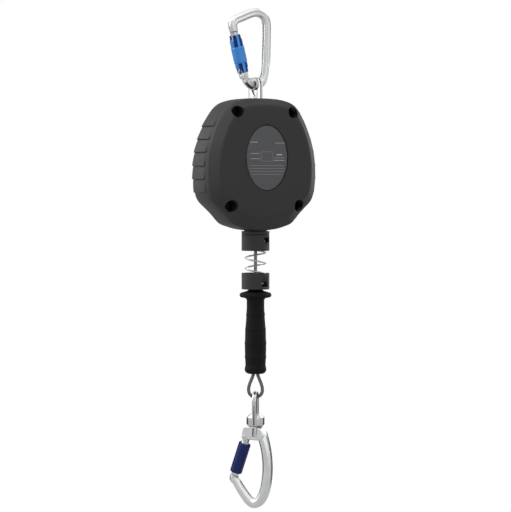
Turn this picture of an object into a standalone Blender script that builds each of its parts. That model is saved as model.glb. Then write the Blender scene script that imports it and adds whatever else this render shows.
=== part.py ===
"""Self retracting lifeline: housing with a sprung rope drum, top carabiner, bumper, grip and swivel hook.

Lengths are in millimetres here and become metres as each mesh is made. +Z is up and the front faces -Y.
The origin is where the top carabiner's inside bears on the anchor that the object hangs from.
"""

import math

import bmesh
import bpy
import numpy as np
from mathutils import Matrix

for old in list(bpy.data.objects):
    bpy.data.objects.remove(old, do_unlink=True)

MM = 0.001
FIT = 0.3  # clearance between pieces that touch

# Housing, from the photograph: 1.4 mm for each of its pixels
HOUSE_Z = -205.3  # height of the middle of the housing
HALF_OUTLINE = [
    (0, 92.4), (14, 92.1), (27, 91.0), (39, 88.4), (49, 84.4), (57.5, 76.8), (64.5, 66.0), (71, 53.6),
    (79, 33.0), (83.4, 15.0), (85.4, -4), (85.2, -23), (82.9, -39), (78.1, -50.7), (68.2, -60.5),
    (59, -69.3), (51, -78.3), (45.2, -83.0), (36.6, -86.2), (22, -90.0), (0, -92),
]
GRIP_STEPS = [53.6, 35.4, 17.2, -1.5, -20.0, -39.0]  # lower edge of each stepped side grip
GRIP_RISE = 1.4
PARTING_Y = -26.0
FRONT_Y, BACK_Y = -41.0, 40.0
WALL = 3.2
# Each level of a cover: y, scale across, scale up, shift up
FRONT_LEVELS = [
    (PARTING_Y - FIT, 0.932, 0.966, 0), (PARTING_Y - 2.5, 0.906, 0.950, 0.4), (FRONT_Y + 2.8, 0.806, 0.850, 2.6),
    (FRONT_Y + 1.5, 0.772, 0.822, 3.1), (FRONT_Y + 0.5, 0.610, 0.690, 5.5), (FRONT_Y, 0.425, 0.545, 8.0),
]
FRONT_HOLLOW = [
    (PARTING_Y + 1, 0.872, 0.918, 0), (PARTING_Y - 1.5, 0.855, 0.905, 0.5), (FRONT_Y + 5.4, 0.765, 0.812, 2.6),
    (FRONT_Y + 4.0, 0.700, 0.760, 3.2), (FRONT_Y + WALL, 0.400, 0.510, 8.0),
]
REAR_LEVELS = [
    (PARTING_Y, 0.938, 0.972, 0), (PARTING_Y + 2.2, 0.949, 0.979, 0), (PARTING_Y + 9, 0.973, 0.989, 0), (3, 1, 1, 0),
    (18, 1, 1, 0), (25, 0.982, 0.984, 0), (31, 0.935, 0.946, 0), (36, 0.855, 0.885, 0), (BACK_Y, 0.74, 0.80, 0),
]
REAR_HOLLOW = [
    (PARTING_Y - 1, 0.876, 0.922, 0), (PARTING_Y + 10, 0.926, 0.945, 0), (2, 0.955, 0.962, 0), (17, 0.955, 0.962, 0),
    (24, 0.938, 0.946, 0), (30, 0.880, 0.900, 0), (BACK_Y - WALL, 0.77, 0.82, 0),
]
SCREW_AT = [(-41.0, 72.3), (41.0, 72.3), (-50.3, -56.8), (50.3, -56.8)]
WELL_R, WELL_FLOOR_R = 8.0, 6.1  # the screw wells narrow toward their floors
WELL_FLOOR_Y = -9.5
WELL_WALL = 1.7
SCREW_R, SCREW_HEAD_R, SCREW_HEAD_H, SCREW_L = 2.5, 5.0, 5.0, 24.0
LABEL_R = (30.4, 44.3)
LABEL_Z = 9.3

# Rope and drum
ROPE_D = 4.8
DRUM_AT = (15.0, 4.0)  # across, and above the middle of the housing
LAYER_R = 45.2
CORE_R = 22.0
TURN_PITCH = 5.25
TURNS = 2  # wound on the outer layer, which is part full
FLANGE_R = 50.0
DRUM_IN = 2 * TURN_PITCH + ROPE_D / 2 + 0.5
FLANGE_T = 2.5
SHAFT_R = 6.0
TEETH = 12
PAWL_SWING = 19.0
CASE_R, CASE_BACK, CASE_WALL = 46.0, 30.6, 1.8
LID_T = 1.5
LEAD_TURN_Z = HOUSE_Z - 84.0

# Outlet, bumper and lifeline below the housing
OUTLET_SEAT = (81.0, 84.0)  # top and underside of the collar's flange, below the middle of the housing
OUTLET_R, OUTLET_FLANGE_R = 16.0, 20.0
CUP_R, CUP_WALL, CUP_H = 19.4, 2.8, 22.7
CUP_FLOOR = 3.8
COLLAR_Z = (HOUSE_Z - 92.5, HOUSE_Z - 96.7)
CUP_UP_Z = COLLAR_Z[1] - FIT
CUP_LOW_Z = -356.2
SPRING_R, SPRING_WIRE, SPRING_TURNS = 14.3, 2.2, 4.5
GRIP_Z = CUP_LOW_Z - CUP_H - FIT
GRIP_PROFILE = [  # radius, and distance below the grip's top
    (9.2, 0), (11.8, 2.0), (20.4, 4.5), (22.3, 6.2), (22.3, 9.2), (20.6, 10.9), (13.8, 12.2), (12.3, 14.4), (12.3, 25.8),
    (12.9, 37.8), (14.5, 60.2), (15.0, 82.6), (14.5, 97.5), (14.1, 106.5), (15.2, 110.1), (15.3, 113.3), (13.4, 116.4),
    (10.5, 117.8),
]
GRIP_END_Z = GRIP_Z - GRIP_PROFILE[-1][1]
FERRULE_Z = (GRIP_END_Z + 27.0, GRIP_END_Z + 1.5)
FERRULE_R = 5.4
EYE_TURN = -32.0
EYE_R = 9.7
EYE_Z = GRIP_END_Z - 23.3

# Swivel and hook. The hook's heights are measured from the underside of the barrel
HOOK_TURN = -51.0
BOW_R = 11.5
BOW_HALF = (3.0, 3.0)
BARREL_R = 12.6
STRAND_Z = EYE_Z - EYE_R  # middle of the rope where the bow hangs on it
BARREL_Z = (STRAND_Z - 25.5, STRAND_Z - 40.2)
STUD_R, STUD_HEAD_R = 4.5, 6.0
STUD_HEAD = (-10.2, -15.8)
STUD_TOP = 10.1
HEAD_TOP = -0.4
HOOK_PIVOT = (-13.3, -15.8)
HOOK_LEAN = 19.4
HOOK_GATE_L = 58.6
HOOK_GATE_R = 5.2
HOOK_SLEEVE = (10.0, 54.3, 8.6)
HOOK_PATH = [
    (3.0, -9.1), (9.6, -11.8), (13.9, -21.4), (17.1, -34.8), (18.9, -48.8), (19.1, -62.8), (17.7, -76.8),
    (15.2, -88.8), (11.2, -98.8), (5.4, -106.4), (-1.8, -109.4), (-9.4, -106.4), (-17.3, -98.0), (-24.5, -88.8),
    (-29.6, -81.3),
]

# Top carabiner
CARABINER_TURN = 8.0
CARABINER_PIVOT = (-19.0, -82.0)
CARABINER_LEAN = -14.7
CARABINER_GATE_L = 62.6
CARABINER_GATE_R = 5.4
CARABINER_SLEEVE = (4.6, 53.8, 9.2)
FLUTE_L = (13.0, 16.0)  # flutes at the sleeve's lower and upper ends
FLUTE_R, BELT_RISE = 2.6, 0.5
ANCHOR_PIVOT_Z = -96.0
CROWN_PATH = [  # from the nose
    (-1.4, 5.3), (-1.6, 10.0), (0.8, 14.4), (5.5, 17.2), (13.0, 20.1), (23.0, 24.3), (34.0, 27.0), (42.2, 26.0),
    (48.9, 21.9), (52.4, 14.5), (53.2, 5.0),
]
SPINE_PATH = [(17.6, -45), (16.6, -71), (14.6, -82), (9.0, -91.2), (0, ANCHOR_PIVOT_Z), (-8.0, -94.3)]
BAR_A, BAR_B = 6.0, 5.7  # half of the bar in its plane, and across it

PALETTE = {
    "charcoal_plastic": ((0.045, 0.045, 0.046), 0.0, 0.6),
    "label_grey": ((0.085, 0.087, 0.095), 0.0, 0.45),
    "black_rubber": ((0.012, 0.012, 0.013), 0.0, 0.7),
    "zinc_steel": ((0.62, 0.62, 0.63), 1.0, 0.3),
    "spring_steel": ((0.42, 0.42, 0.44), 1.0, 0.35),
    "aluminium": ((0.70, 0.70, 0.71), 1.0, 0.38),
    "blue_anodised": ((0.03, 0.20, 0.55), 1.0, 0.35),
    "navy_anodised": ((0.010, 0.018, 0.10), 1.0, 0.45),
    "bronze": ((0.45, 0.29, 0.12), 1.0, 0.4),
    "friction_lining": ((0.09, 0.06, 0.045), 0.0, 0.85),
    "white_nylon": ((0.75, 0.74, 0.70), 0.0, 0.5),
}
MATERIALS = {}
for key, (rgb, metal, rough) in PALETTE.items():
    made = bpy.data.materials.new(key)
    made.use_nodes = True
    shader = made.node_tree.nodes["Principled BSDF"]
    shader.inputs["Base Color"].default_value = (*rgb, 1)
    shader.inputs["Metallic"].default_value = metal
    shader.inputs["Roughness"].default_value = rough
    MATERIALS[key] = made

HELPERS = bpy.data.collections.new("cutters")
bpy.context.scene.collection.children.link(HELPERS)


def frame(name, at=(0, 0, 0), turn_z=0.0, turn_y=0.0, parent=None):
    """An empty on a joint's axis or at a tilted group of pieces."""
    obj = bpy.data.objects.new(name, None)
    obj.empty_display_size = 0.01
    obj.matrix_local = (
        Matrix.Translation([v * MM for v in at])
        @ Matrix.Rotation(math.radians(turn_z), 4, "Z")
        @ Matrix.Rotation(math.radians(turn_y), 4, "Y")
    )
    bpy.context.scene.collection.objects.link(obj)
    obj.parent = parent
    return obj


def put(name, mesh, material, parent=None):
    """Adds a mesh as a named piece, or as a cutter when it has no material."""
    obj = bpy.data.objects.new(name, mesh)
    if material:
        mesh.materials.append(MATERIALS[material])
        bpy.context.scene.collection.objects.link(obj)
    else:
        HELPERS.objects.link(obj)
        obj.hide_render = True
        obj.display_type = "WIRE"
    obj.parent = parent
    return obj


def meshed(name, verts, faces, smooth=True):
    """A mesh from points in millimetres, its faces turned outward and its creases kept sharp."""
    mesh = bpy.data.meshes.new(name)
    mesh.from_pydata((np.array(verts, float) * MM).tolist(), [], faces)
    bm = bmesh.new()
    bm.from_mesh(mesh)
    bmesh.ops.recalc_face_normals(bm, faces=bm.faces)
    for face in bm.faces:
        face.smooth = smooth
    bm.to_mesh(mesh)
    bm.free()
    mesh.set_sharp_from_angle(angle=0.7)
    return mesh


def loft(name, rings, material, parent=None, closed=False, flat=False):
    """Skins a row of rings with the same number of points, capped at both ends unless it closes on itself. With flat,
    each four-sided face, which may be twisted, is split into two flat ones."""
    rings = [np.array(r, float) for r in rings]
    n, count = len(rings[0]), len(rings)
    faces = []
    for i in range(count if closed else count - 1):
        a, b = i * n, (i + 1) % count * n
        sides = [(a + j, a + (j + 1) % n, b + (j + 1) % n, b + j) for j in range(n)]
        faces += [half for p, q, r, s in sides for half in ((p, q, s), (q, r, s))] if flat else sides
    if not closed:
        faces += [tuple(range(n)), tuple(range((count - 1) * n, count * n))]
    return put(name, meshed(name, np.concatenate(rings), faces), material, parent)


def turned(name, profile, material, steps=32, along="Z", at=(0, 0, 0), parent=None):
    """A turned ring: a closed profile of (radius, height) swept round its axis by a Screw modifier."""
    profile = list(profile)
    area = sum(a[0] * b[1] - b[0] * a[1] for a, b in zip(profile, profile[1:] + profile[:1]))
    if area > 0:
        profile.reverse()
    n = len(profile)
    mesh = bpy.data.meshes.new(name)
    mesh.from_pydata([(r * MM, 0, h * MM) for r, h in profile], [(i, (i + 1) % n) for i in range(n)], [])
    obj = put(name, mesh, material, parent)
    obj.location = [v * MM for v in at]
    if along == "Y":
        obj.rotation_euler = (-math.pi / 2, 0, 0)
    screw = obj.modifiers.new("turn", "SCREW")
    screw.steps = screw.render_steps = steps
    screw.use_merge_vertices = True
    screw.merge_threshold = 0.00001
    screw.use_smooth_shade = True
    return obj


def bar(name, radius, low, high, material, along="Z", at=(0, 0), steps=24, parent=None, turn=0.0):
    """A round or many-sided bar between two heights along Z, or two depths along Y."""
    angle = np.linspace(0, 2 * math.pi, steps, endpoint=False) + turn
    rings = []
    for h in (low, high):
        a, b = at[0] + radius * np.cos(angle), at[1] + radius * np.sin(angle)
        flat = np.full(steps, h)
        rings.append(np.stack([a, b, flat] if along == "Z" else [a, flat, b], 1))
    return loft(name, rings, material, parent)


def block(name, low, high, material=None, parent=None):
    """A box between two corners."""
    x, y, z = zip(low, high)
    rings = [[(x[0], y[0], h), (x[1], y[0], h), (x[1], y[1], h), (x[0], y[1], h)] for h in z]
    return loft(name, rings, material, parent)


def slab(name, outline, low, high, material=None, along="Y", parent=None):
    """A flat outline given thickness along Y, X or Z."""
    rings = []
    for h in (low, high):
        spots = {"Y": [(a, h, b) for a, b in outline], "X": [(h, a, b) for a, b in outline]}
        rings.append(spots.get(along) or [(a, b, h) for a, b in outline])
    return loft(name, rings, material, parent)


def boolean(obj, other, how="DIFFERENCE"):
    mod = obj.modifiers.new(how.lower(), "BOOLEAN")
    mod.operation = how
    mod.solver = "EXACT"
    mod.object = other
    return obj


def cut(obj, *cutters):
    for cutter in cutters:
        boolean(obj, cutter)
    return obj


def join(obj, *others):
    for other in others:
        boolean(obj, other, "UNION")
    return obj


def tube(name, points, radius, material, parent=None, sides=1):
    """A round wire or rope along points, with capped ends, from a curve's bevel."""
    curve = bpy.data.curves.new(name, "CURVE")
    curve.dimensions = "3D"
    curve.bevel_depth = radius * MM
    curve.bevel_resolution = sides
    curve.use_fill_caps = True
    spline = curve.splines.new("POLY")
    spline.points.add(len(points) - 1)
    for spot, p in zip(spline.points, points):
        spot.co = (p[0] * MM, p[1] * MM, p[2] * MM, 1)
    obj = bpy.data.objects.new(name, curve)
    bpy.context.scene.collection.objects.link(obj)
    bpy.context.view_layer.update()
    shape = obj.evaluated_get(bpy.context.evaluated_depsgraph_get())
    mesh = bpy.data.meshes.new_from_object(shape)
    bpy.data.objects.remove(obj)
    bm = bmesh.new()
    bm.from_mesh(mesh)
    bmesh.ops.remove_doubles(bm, verts=bm.verts, dist=1e-6)
    bmesh.ops.recalc_face_normals(bm, faces=bm.faces)
    for face in bm.faces:
        face.smooth = len(face.verts) == 4
    bm.to_mesh(mesh)
    bm.free()
    mesh.name = name
    return put(name, mesh, material, parent)


def self_gap(points, thickness, skip):
    """The least space between far parts of one wire, along its centre line."""
    points = np.array(points)
    far = np.linalg.norm(points[:, None] - points[None], axis=2)
    index = np.arange(len(points))
    return far[np.abs(index[:, None] - index[None]) > skip].min() - thickness


def arc(cx, cy, r, start, end, n):
    """Points on an arc in degrees, both ends included."""
    return [(cx + r * math.cos(math.radians(t)), cy + r * math.sin(math.radians(t))) for t in np.linspace(start, end, n)]


def swept(name, path, half_in, half_across, material, parent=None, power=2.6, n=10):
    """A forged bar: a soft-cornered section carried along a path in its own X-Z plane."""
    path = np.array(path, float)
    along = np.gradient(path, axis=0)
    along /= np.linalg.norm(along, axis=1)[:, None]
    side = np.stack([-along[:, 1], along[:, 0]], 1)
    angle = np.linspace(0, 2 * math.pi, n, endpoint=False)
    c, s = np.cos(angle), np.sin(angle)
    a = np.sign(c) * np.abs(c) ** (2 / power)
    b = np.sign(s) * np.abs(s) ** (2 / power)
    half_in, half_across = np.broadcast_to(half_in, len(path)), np.broadcast_to(half_across, len(path))
    rings = []
    for p, d, h, w in zip(path, side, half_in, half_across):
        rings.append(np.stack([p[0] + d[0] * h * a, w * b, p[1] + d[1] * h * a], 1))
    return loft(name, rings, material, parent)


def curved(points, per=3):
    """More points on a smooth line through the given ones."""
    p = np.array(points, float)
    p = np.concatenate([[2 * p[0] - p[1]], p, [2 * p[-1] - p[-2]]])
    out = []
    for i in range(1, len(p) - 2):
        for t in np.arange(per) / per:
            out.append(0.5 * (2 * p[i] + (p[i + 1] - p[i - 1]) * t
                              + (2 * p[i - 1] - 5 * p[i] + 4 * p[i + 1] - p[i + 2]) * t**2
                              + (3 * p[i] - p[i - 1] - 3 * p[i + 1] + p[i + 2]) * t**3))
    return np.array(out + [p[-2]])


def outline(half):
    """The whole outline, clockwise from the top, from its right half."""
    return half + [(-x, z) for x, z in half[-2:0:-1]]


def levels(points, rows):
    """Rings of a cover: the outline at each depth, scaled and shifted."""
    return [[(x * sx, y, HOUSE_Z + z * sz + up) for x, z in points] for y, sx, sz, up in rows]


# Housing covers
def side_at(z):
    pts = HALF_OUTLINE[5:14]
    return float(np.interp(-z, [-p[1] for p in pts], [p[0] for p in pts]))


stepped = HALF_OUTLINE[:6]
for z in GRIP_STEPS:
    stepped = stepped + [(side_at(z) + GRIP_RISE, z), (side_at(z - 0.5), z - 0.5)]
stepped = stepped + HALF_OUTLINE[13:]
PLAIN, STEPPED = outline(HALF_OUTLINE), outline(stepped)
hollow_half = HALF_OUTLINE[::2]
HOLLOW = outline(hollow_half)

housing = frame("housing_swing_axis", (0, 0, ANCHOR_PIVOT_Z))


def hold(obj, pivot):
    """Hangs a piece that was made in place on a joint's empty."""
    bpy.context.view_layer.update()
    obj.parent = pivot
    obj.matrix_parent_inverse = pivot.matrix_world.inverted()
    return obj


front_hollow = loft("front_hollow", levels(HOLLOW, FRONT_HOLLOW), None)
rear_hollow = loft("rear_hollow", levels(HOLLOW, REAR_HOLLOW), None, flat=True)
front_cover = loft("front_cover", levels(PLAIN, FRONT_LEVELS), "charcoal_plastic")
rear_cover = loft("rear_cover", levels(STEPPED, REAR_LEVELS), "charcoal_plastic")
boss_r, boss_y = WELL_FLOOR_R + WELL_WALL, WELL_FLOOR_Y + WELL_WALL
for i, (x, z) in enumerate(SCREW_AT):
    spot = (x, HOUSE_Z + z)
    cut(front_hollow, bar(f"front_boss_{i}", WELL_R + WELL_WALL, -60, 0, None, "Y", spot, 16))
    cut(rear_hollow, bar(f"rear_boss_{i}", SCREW_R + 4, -30, 60, None, "Y", spot, 12))
cut(front_cover, front_hollow)
cut(rear_cover, rear_hollow)
for i, (x, z) in enumerate(SCREW_AT):
    spot = (x, HOUSE_Z + z)
    head_y = WELL_FLOOR_Y - FIT
    join(front_cover, bar(f"boss_tube_{i}", boss_r, PARTING_Y - 3, boss_y, None, "Y", spot, 16))
    angle = np.linspace(0, 2 * math.pi, 20, endpoint=False)
    well = [[(x + r * math.cos(t), y, HOUSE_Z + z + r * math.sin(t)) for t in angle]
            for r, y in ((WELL_R, -60), (WELL_R, FRONT_Y + 8), (WELL_FLOOR_R, WELL_FLOOR_Y))]
    cut(front_cover, loft(f"screw_well_{i}", well, None),
        bar(f"screw_way_{i}", SCREW_R + FIT, -30, 0, None, "Y", spot, 12))
    cut(rear_cover, bar(f"boss_seat_{i}", boss_r + FIT, -30, boss_y + FIT, None, "Y", spot, 16),
        bar(f"screw_bore_{i}", SCREW_R + FIT, -30, head_y + SCREW_L + 0.5, None, "Y", spot, 12))
    screw = bar(f"cover_screw_{i + 1}", SCREW_R, head_y - 1, head_y + SCREW_L, "zinc_steel", "Y", spot, 12)
    head = bar(f"screw_head_{i}", SCREW_HEAD_R, head_y - SCREW_HEAD_H, head_y, None, "Y", spot, 12)
    socket = bar(f"screw_socket_{i}", 2.3, head_y - SCREW_HEAD_H - 1, head_y - 2, None, "Y", spot, 6)
    cut(join(screw, head), socket)
    hold(screw, housing)

ring = np.linspace(0, 2 * math.pi, 36, endpoint=False)


def oval(grow):
    return [((LABEL_R[0] + grow) * math.cos(t), HOUSE_Z + LABEL_Z + (LABEL_R[1] + grow) * math.sin(t)) for t in ring]


cut(front_cover, slab("label_recess", oval(0.7), FRONT_Y - 5, FRONT_Y + 1.6))
notch_x, notch_z = -LABEL_R[0] - 0.7, HOUSE_Z + LABEL_Z + LABEL_R[1] + 0.7
notch_y = (FRONT_Y - 5, FRONT_Y + 1.6)
cut(front_cover, block("label_notch_top", (-2.2, notch_y[0], notch_z - 2), (2.2, notch_y[1], notch_z + 1.1)),
    block("label_notch_side", (notch_x - 1.1, notch_y[0], HOUSE_Z + LABEL_Z - 6), (notch_x + 2, notch_y[1], HOUSE_Z + LABEL_Z + 2)))
label_plate = hold(slab("label_plate", oval(0), FRONT_Y + 0.3, FRONT_Y + 1.6 - FIT, "label_grey"), housing)

# Anchor plate, its upper end rounded, with a wide foot between the two frame plates
PLATE_T, PLATE_HALF, PLATE_TOP = 5.6, 19.5, -84.2
FOOT_TOP, FOOT_LOW = HOUSE_Z + 75.0, HOUSE_Z + 58.0
FRAME_FRONT = (-31.8, -28.8)
FRAME_BACK = (32.8, 35.8)
HOLE_R = 10.0
hole_z = ANCHOR_PIVOT_Z + BAR_B + 0.85 - HOLE_R
plate_outline = [(-PLATE_HALF, FOOT_TOP), *arc(-PLATE_HALF + 12, PLATE_TOP - 12, 12, 180, 90, 6),
                 *arc(PLATE_HALF - 12, PLATE_TOP - 12, 12, 90, 0, 6), (PLATE_HALF, FOOT_TOP),
                 (FRAME_BACK[0] - FIT, FOOT_TOP), (FRAME_BACK[0] - FIT, FOOT_LOW),
                 (FRAME_FRONT[1] + FIT, FOOT_LOW), (FRAME_FRONT[1] + FIT, FOOT_TOP)]
anchor_plate = slab("anchor_plate", plate_outline, -PLATE_T / 2, PLATE_T / 2, "zinc_steel", "X")
t = np.linspace(0, 2 * math.pi, 32, endpoint=False)
hole_rings = []
for x, r in ((-5, HOLE_R + 3.4), (-PLATE_T / 2, HOLE_R + 1.4), (-1.4, HOLE_R), (1.4, HOLE_R),
             (PLATE_T / 2, HOLE_R + 1.4), (5, HOLE_R + 3.4)):
    hole_rings.append(np.stack([np.full(32, x), r * np.cos(t), hole_z + r * np.sin(t)], 1))
cut(anchor_plate, loft("anchor_hole", hole_rings, None))
hold(anchor_plate, housing)
slot = block("anchor_slot", (-PLATE_T / 2 - 0.5, -PLATE_HALF - 0.5, FOOT_TOP + 0.5), (PLATE_T / 2 + 0.5, PLATE_HALF + 0.5, -90))
cut(rear_cover, slot)

# Frame plates and tie studs
DX, DZ = DRUM_AT[0], HOUSE_Z + DRUM_AT[1]
STUDS = [(-37.0, HOUSE_Z - 42.0), (35.0, HOUSE_Z - 51.0)]
plate_points = [(-13, 70), (13, 70), (34, 30), (38, 4), (40, -44), (36, -54.5), (30, -56), (12, -30), (-30, -49),
                (-41, -48), (-43, -37), (-20, 10)]
for name, (low, high) in (("front_frame_plate", FRAME_FRONT), ("rear_frame_plate", FRAME_BACK)):
    shape = [(x, HOUSE_Z + z) for x, z in plate_points]
    plate = slab(name, shape, low, high, "zinc_steel")
    cut(plate, bar(name + "_bore", SHAFT_R + FIT, low - 3, high + 3, None, "Y", (DX, DZ), 20))
    for k, at in enumerate(STUDS):
        cut(plate, bar(f"{name}_stud_{k}", 3.0 + FIT, low - 3, high + 3, None, "Y", at, 12))
    hold(plate, housing)
for name, at in zip(("tie_stud_left", "tie_stud_right"), STUDS):
    stud = bar(name, 3.0, FRAME_FRONT[0], FRAME_BACK[1], "zinc_steel", "Y", at, 12)
    hold(join(stud, bar(name + "_body", 5.0, FRAME_FRONT[1] + FIT, FRAME_BACK[0] - FIT, None, "Y", at, 12)), housing)

# Shaft, its nut, and the arbor that holds the power spring's inner end
hold(bar("drum_shaft", SHAFT_R, -36.4, 36.2, "zinc_steel", "Y", (DX, DZ), 20), housing)
shaft_nut = bar("shaft_nut", 10.0, -36, -32.1, "zinc_steel", "Y", (DX, DZ), 6)
hold(cut(shaft_nut, bar("nut_bore", SHAFT_R + FIT, -40, -30, None, "Y", (DX, DZ), 20)), housing)
ARBOR_R = SHAFT_R + 4.0
arbor_y = (DRUM_IN + FLANGE_T + 2.3, FRAME_BACK[0] - FIT)
hold(turned("spring_arbor", [(SHAFT_R + FIT, arbor_y[0]), (ARBOR_R, arbor_y[0]), (ARBOR_R, arbor_y[1]),
                             (SHAFT_R + FIT, arbor_y[1])], "zinc_steel", 20, "Y", (DX, 0, DZ)), housing)

# Ratchet ring fixed to the front frame plate: saw teeth that face the turning pawls
RATCHET_R, ROOT_R, TIP_R = 46.8, 43.4, 39.6
LOCK_AT = 40.8  # degrees round from a pawl's pivot to the tooth that it meets
inner = []
for k in range(TEETH):
    face = LOCK_AT + 360 / TEETH * k
    inner += [(ROOT_R, face), (TIP_R, face + 0.4), ((ROOT_R + TIP_R) / 2, face + 180 / TEETH)]
teeth = [(DX + r * math.cos(math.radians(a)), DZ + r * math.sin(math.radians(a))) for r, a in inner]
ratchet = bar("ratchet_ring", RATCHET_R, -28.5, -21.5, "zinc_steel", "Y", (DX, DZ), 48)
hold(cut(ratchet, slab("ratchet_teeth", teeth, -40, -10)), housing)

# Drum and what turns with it
drum_axis = frame("drum_axis", (DX, 0, DZ))
hold(drum_axis, housing)
IN, OUT = DRUM_IN, DRUM_IN + FLANGE_T
HUB_R, BORE_R = 12.0, 9.3
at_drum = {"along": "Y", "at": (DX, 0, DZ)}
drum_profile = [
    (BORE_R, -27.9), (HUB_R, -27.9), (HUB_R, -OUT), (FLANGE_R, -OUT), (FLANGE_R, -IN), (CORE_R, -IN), (CORE_R, IN),
    (FLANGE_R, IN), (FLANGE_R, OUT), (18.5, OUT), (18.5, -9), (13.5, -9), (13.5, OUT), (BORE_R, OUT),
]
drum_pieces = [
    turned("drum", drum_profile, "aluminium", 24, **at_drum),
    turned("drum_bush_front", [(SHAFT_R + FIT, -24), (BORE_R - FIT, -24), (BORE_R - FIT, -8), (SHAFT_R + FIT, -8)],
           "bronze", 20, **at_drum),
    turned("drum_bush_rear", [(SHAFT_R + FIT, 2), (BORE_R - FIT, 2), (BORE_R - FIT, OUT), (SHAFT_R + FIT, OUT)],
           "bronze", 20, **at_drum),
]
FRICTION = (-OUT - FIT - 1.5, -OUT - FIT)
DISC = (FRICTION[0] - FIT - 3.5, FRICTION[0] - FIT)
PAWL = (DISC[0] - FIT - 3.4, DISC[0] - FIT)


def washer(name, r_in, r_out, y, material, steps=24):
    shape = [(r_in, y[0]), (r_out, y[0]), (r_out, y[1]), (r_in, y[1])]
    return turned(name, shape, material, steps, **at_drum)


spring_back = DISC[0] - FIT
drum_pieces += [
    washer("friction_disc", HUB_R + FIT, 38.0, FRICTION, "friction_lining"),
    washer("pawl_disc", HUB_R + FIT, 38.0, DISC, "zinc_steel"),
    turned("disc_spring", [(HUB_R + FIT, spring_back - 1.6), (18, spring_back - 0.9), (18, spring_back),
                           (HUB_R + FIT, spring_back - 0.7)], "spring_steel", 24, **at_drum),
    cut(bar("hub_nut", 18.0, -27.6, spring_back - 1.6 - FIT, "zinc_steel", "Y", (DX, DZ), 6),
        bar("hub_nut_bore", HUB_R + FIT, -30, -20, None, "Y", (DX, DZ), 24)),
    washer("spring_lid", HUB_R, CASE_R, (CASE_BACK + FIT, CASE_BACK + FIT + LID_T), "zinc_steel"),
    turned("spring_case", [(HUB_R, OUT + FIT), (CASE_R, OUT + FIT), (CASE_R, CASE_BACK), (CASE_R - CASE_WALL, CASE_BACK),
                           (CASE_R - CASE_WALL, OUT + CASE_WALL), (HUB_R, OUT + CASE_WALL)], "zinc_steel", 24, **at_drum),
    washer("rope_core", CORE_R + FIT, LAYER_R - ROPE_D / 2 - 0.75, (-IN + FIT, IN - FIT), "spring_steel", 24),
]
spiral_in, spiral_out, spiral_turns, strip = ARBOR_R + 1.0, CASE_R - CASE_WALL - 1.0, 5, 0.9
spiral = []
for t in np.linspace(0, 1, spiral_turns * 16 + 1):
    r, a = spiral_in + (spiral_out - spiral_in) * t, 2 * math.pi * spiral_turns * t
    low, high = OUT + CASE_WALL + 0.5, CASE_BACK - 0.2
    spot = [(r - strip / 2, low), (r + strip / 2, low), (r + strip / 2, high), (r - strip / 2, high)]
    spiral.append([(DX + q * math.cos(a), y, DZ + q * math.sin(a)) for q, y in spot])
drum_pieces.append(loft("power_spring", spiral, "spring_steel"))

# Rope: the outer layer on the drum, then the lead that runs down to the grip
lead_low = np.array([0.0, LEAD_TURN_Z])
to_drum = np.array([DX, DZ]) - lead_low
reach = np.linalg.norm(to_drum)
lean = math.asin(LAYER_R / reach) - math.atan2(to_drum[0], to_drum[1])
lead_l = math.sqrt(reach**2 - LAYER_R**2)
leave = lead_low + lead_l * np.array([-math.sin(lean), math.cos(lean)])
leave_at = math.atan2(leave[1] - DZ, leave[0] - DX)
top_y = 2 * TURN_PITCH  # the first turn lies against the front flange, the last in the middle
winding = []
for k in range(TURNS * 24 + 1):
    a = leave_at - 2 * math.pi * (TURNS - k / 24)
    winding.append((DX + LAYER_R * math.cos(a), -top_y + TURN_PITCH * k / 24, DZ + LAYER_R * math.sin(a)))
down = np.array([math.sin(lean), 0, -math.cos(lean)])
straight = down
winding.append(tuple(np.array(winding[-1]) + straight * ROPE_D))
print("least gap in rope_winding, mm:", round(self_gap(winding, ROPE_D, 12), 2))
drum_pieces.append(tube("rope_winding", winding, ROPE_D / 2, "spring_steel"))
for piece in drum_pieces:
    hold(piece, drum_axis)

BEND = 26.0
bend_cut = BEND * math.tan(lean / 2)
start = np.array([leave[0], 0, leave[1]]) + straight * (ROPE_D + FIT)
lead = [start]
corner = np.array([0, 0, LEAD_TURN_Z])
for t in np.linspace(0, 1, 6):
    a, b = corner - straight * bend_cut, corner + np.array([0, 0, -bend_cut])
    lead.append((1 - t) ** 2 * a + 2 * t * (1 - t) * corner + t**2 * b)
lead += [np.array([0, 0, z]) for z in (CUP_LOW_Z + 16, GRIP_Z - 21, FERRULE_Z[0] + FIT + 0.2)]

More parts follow.
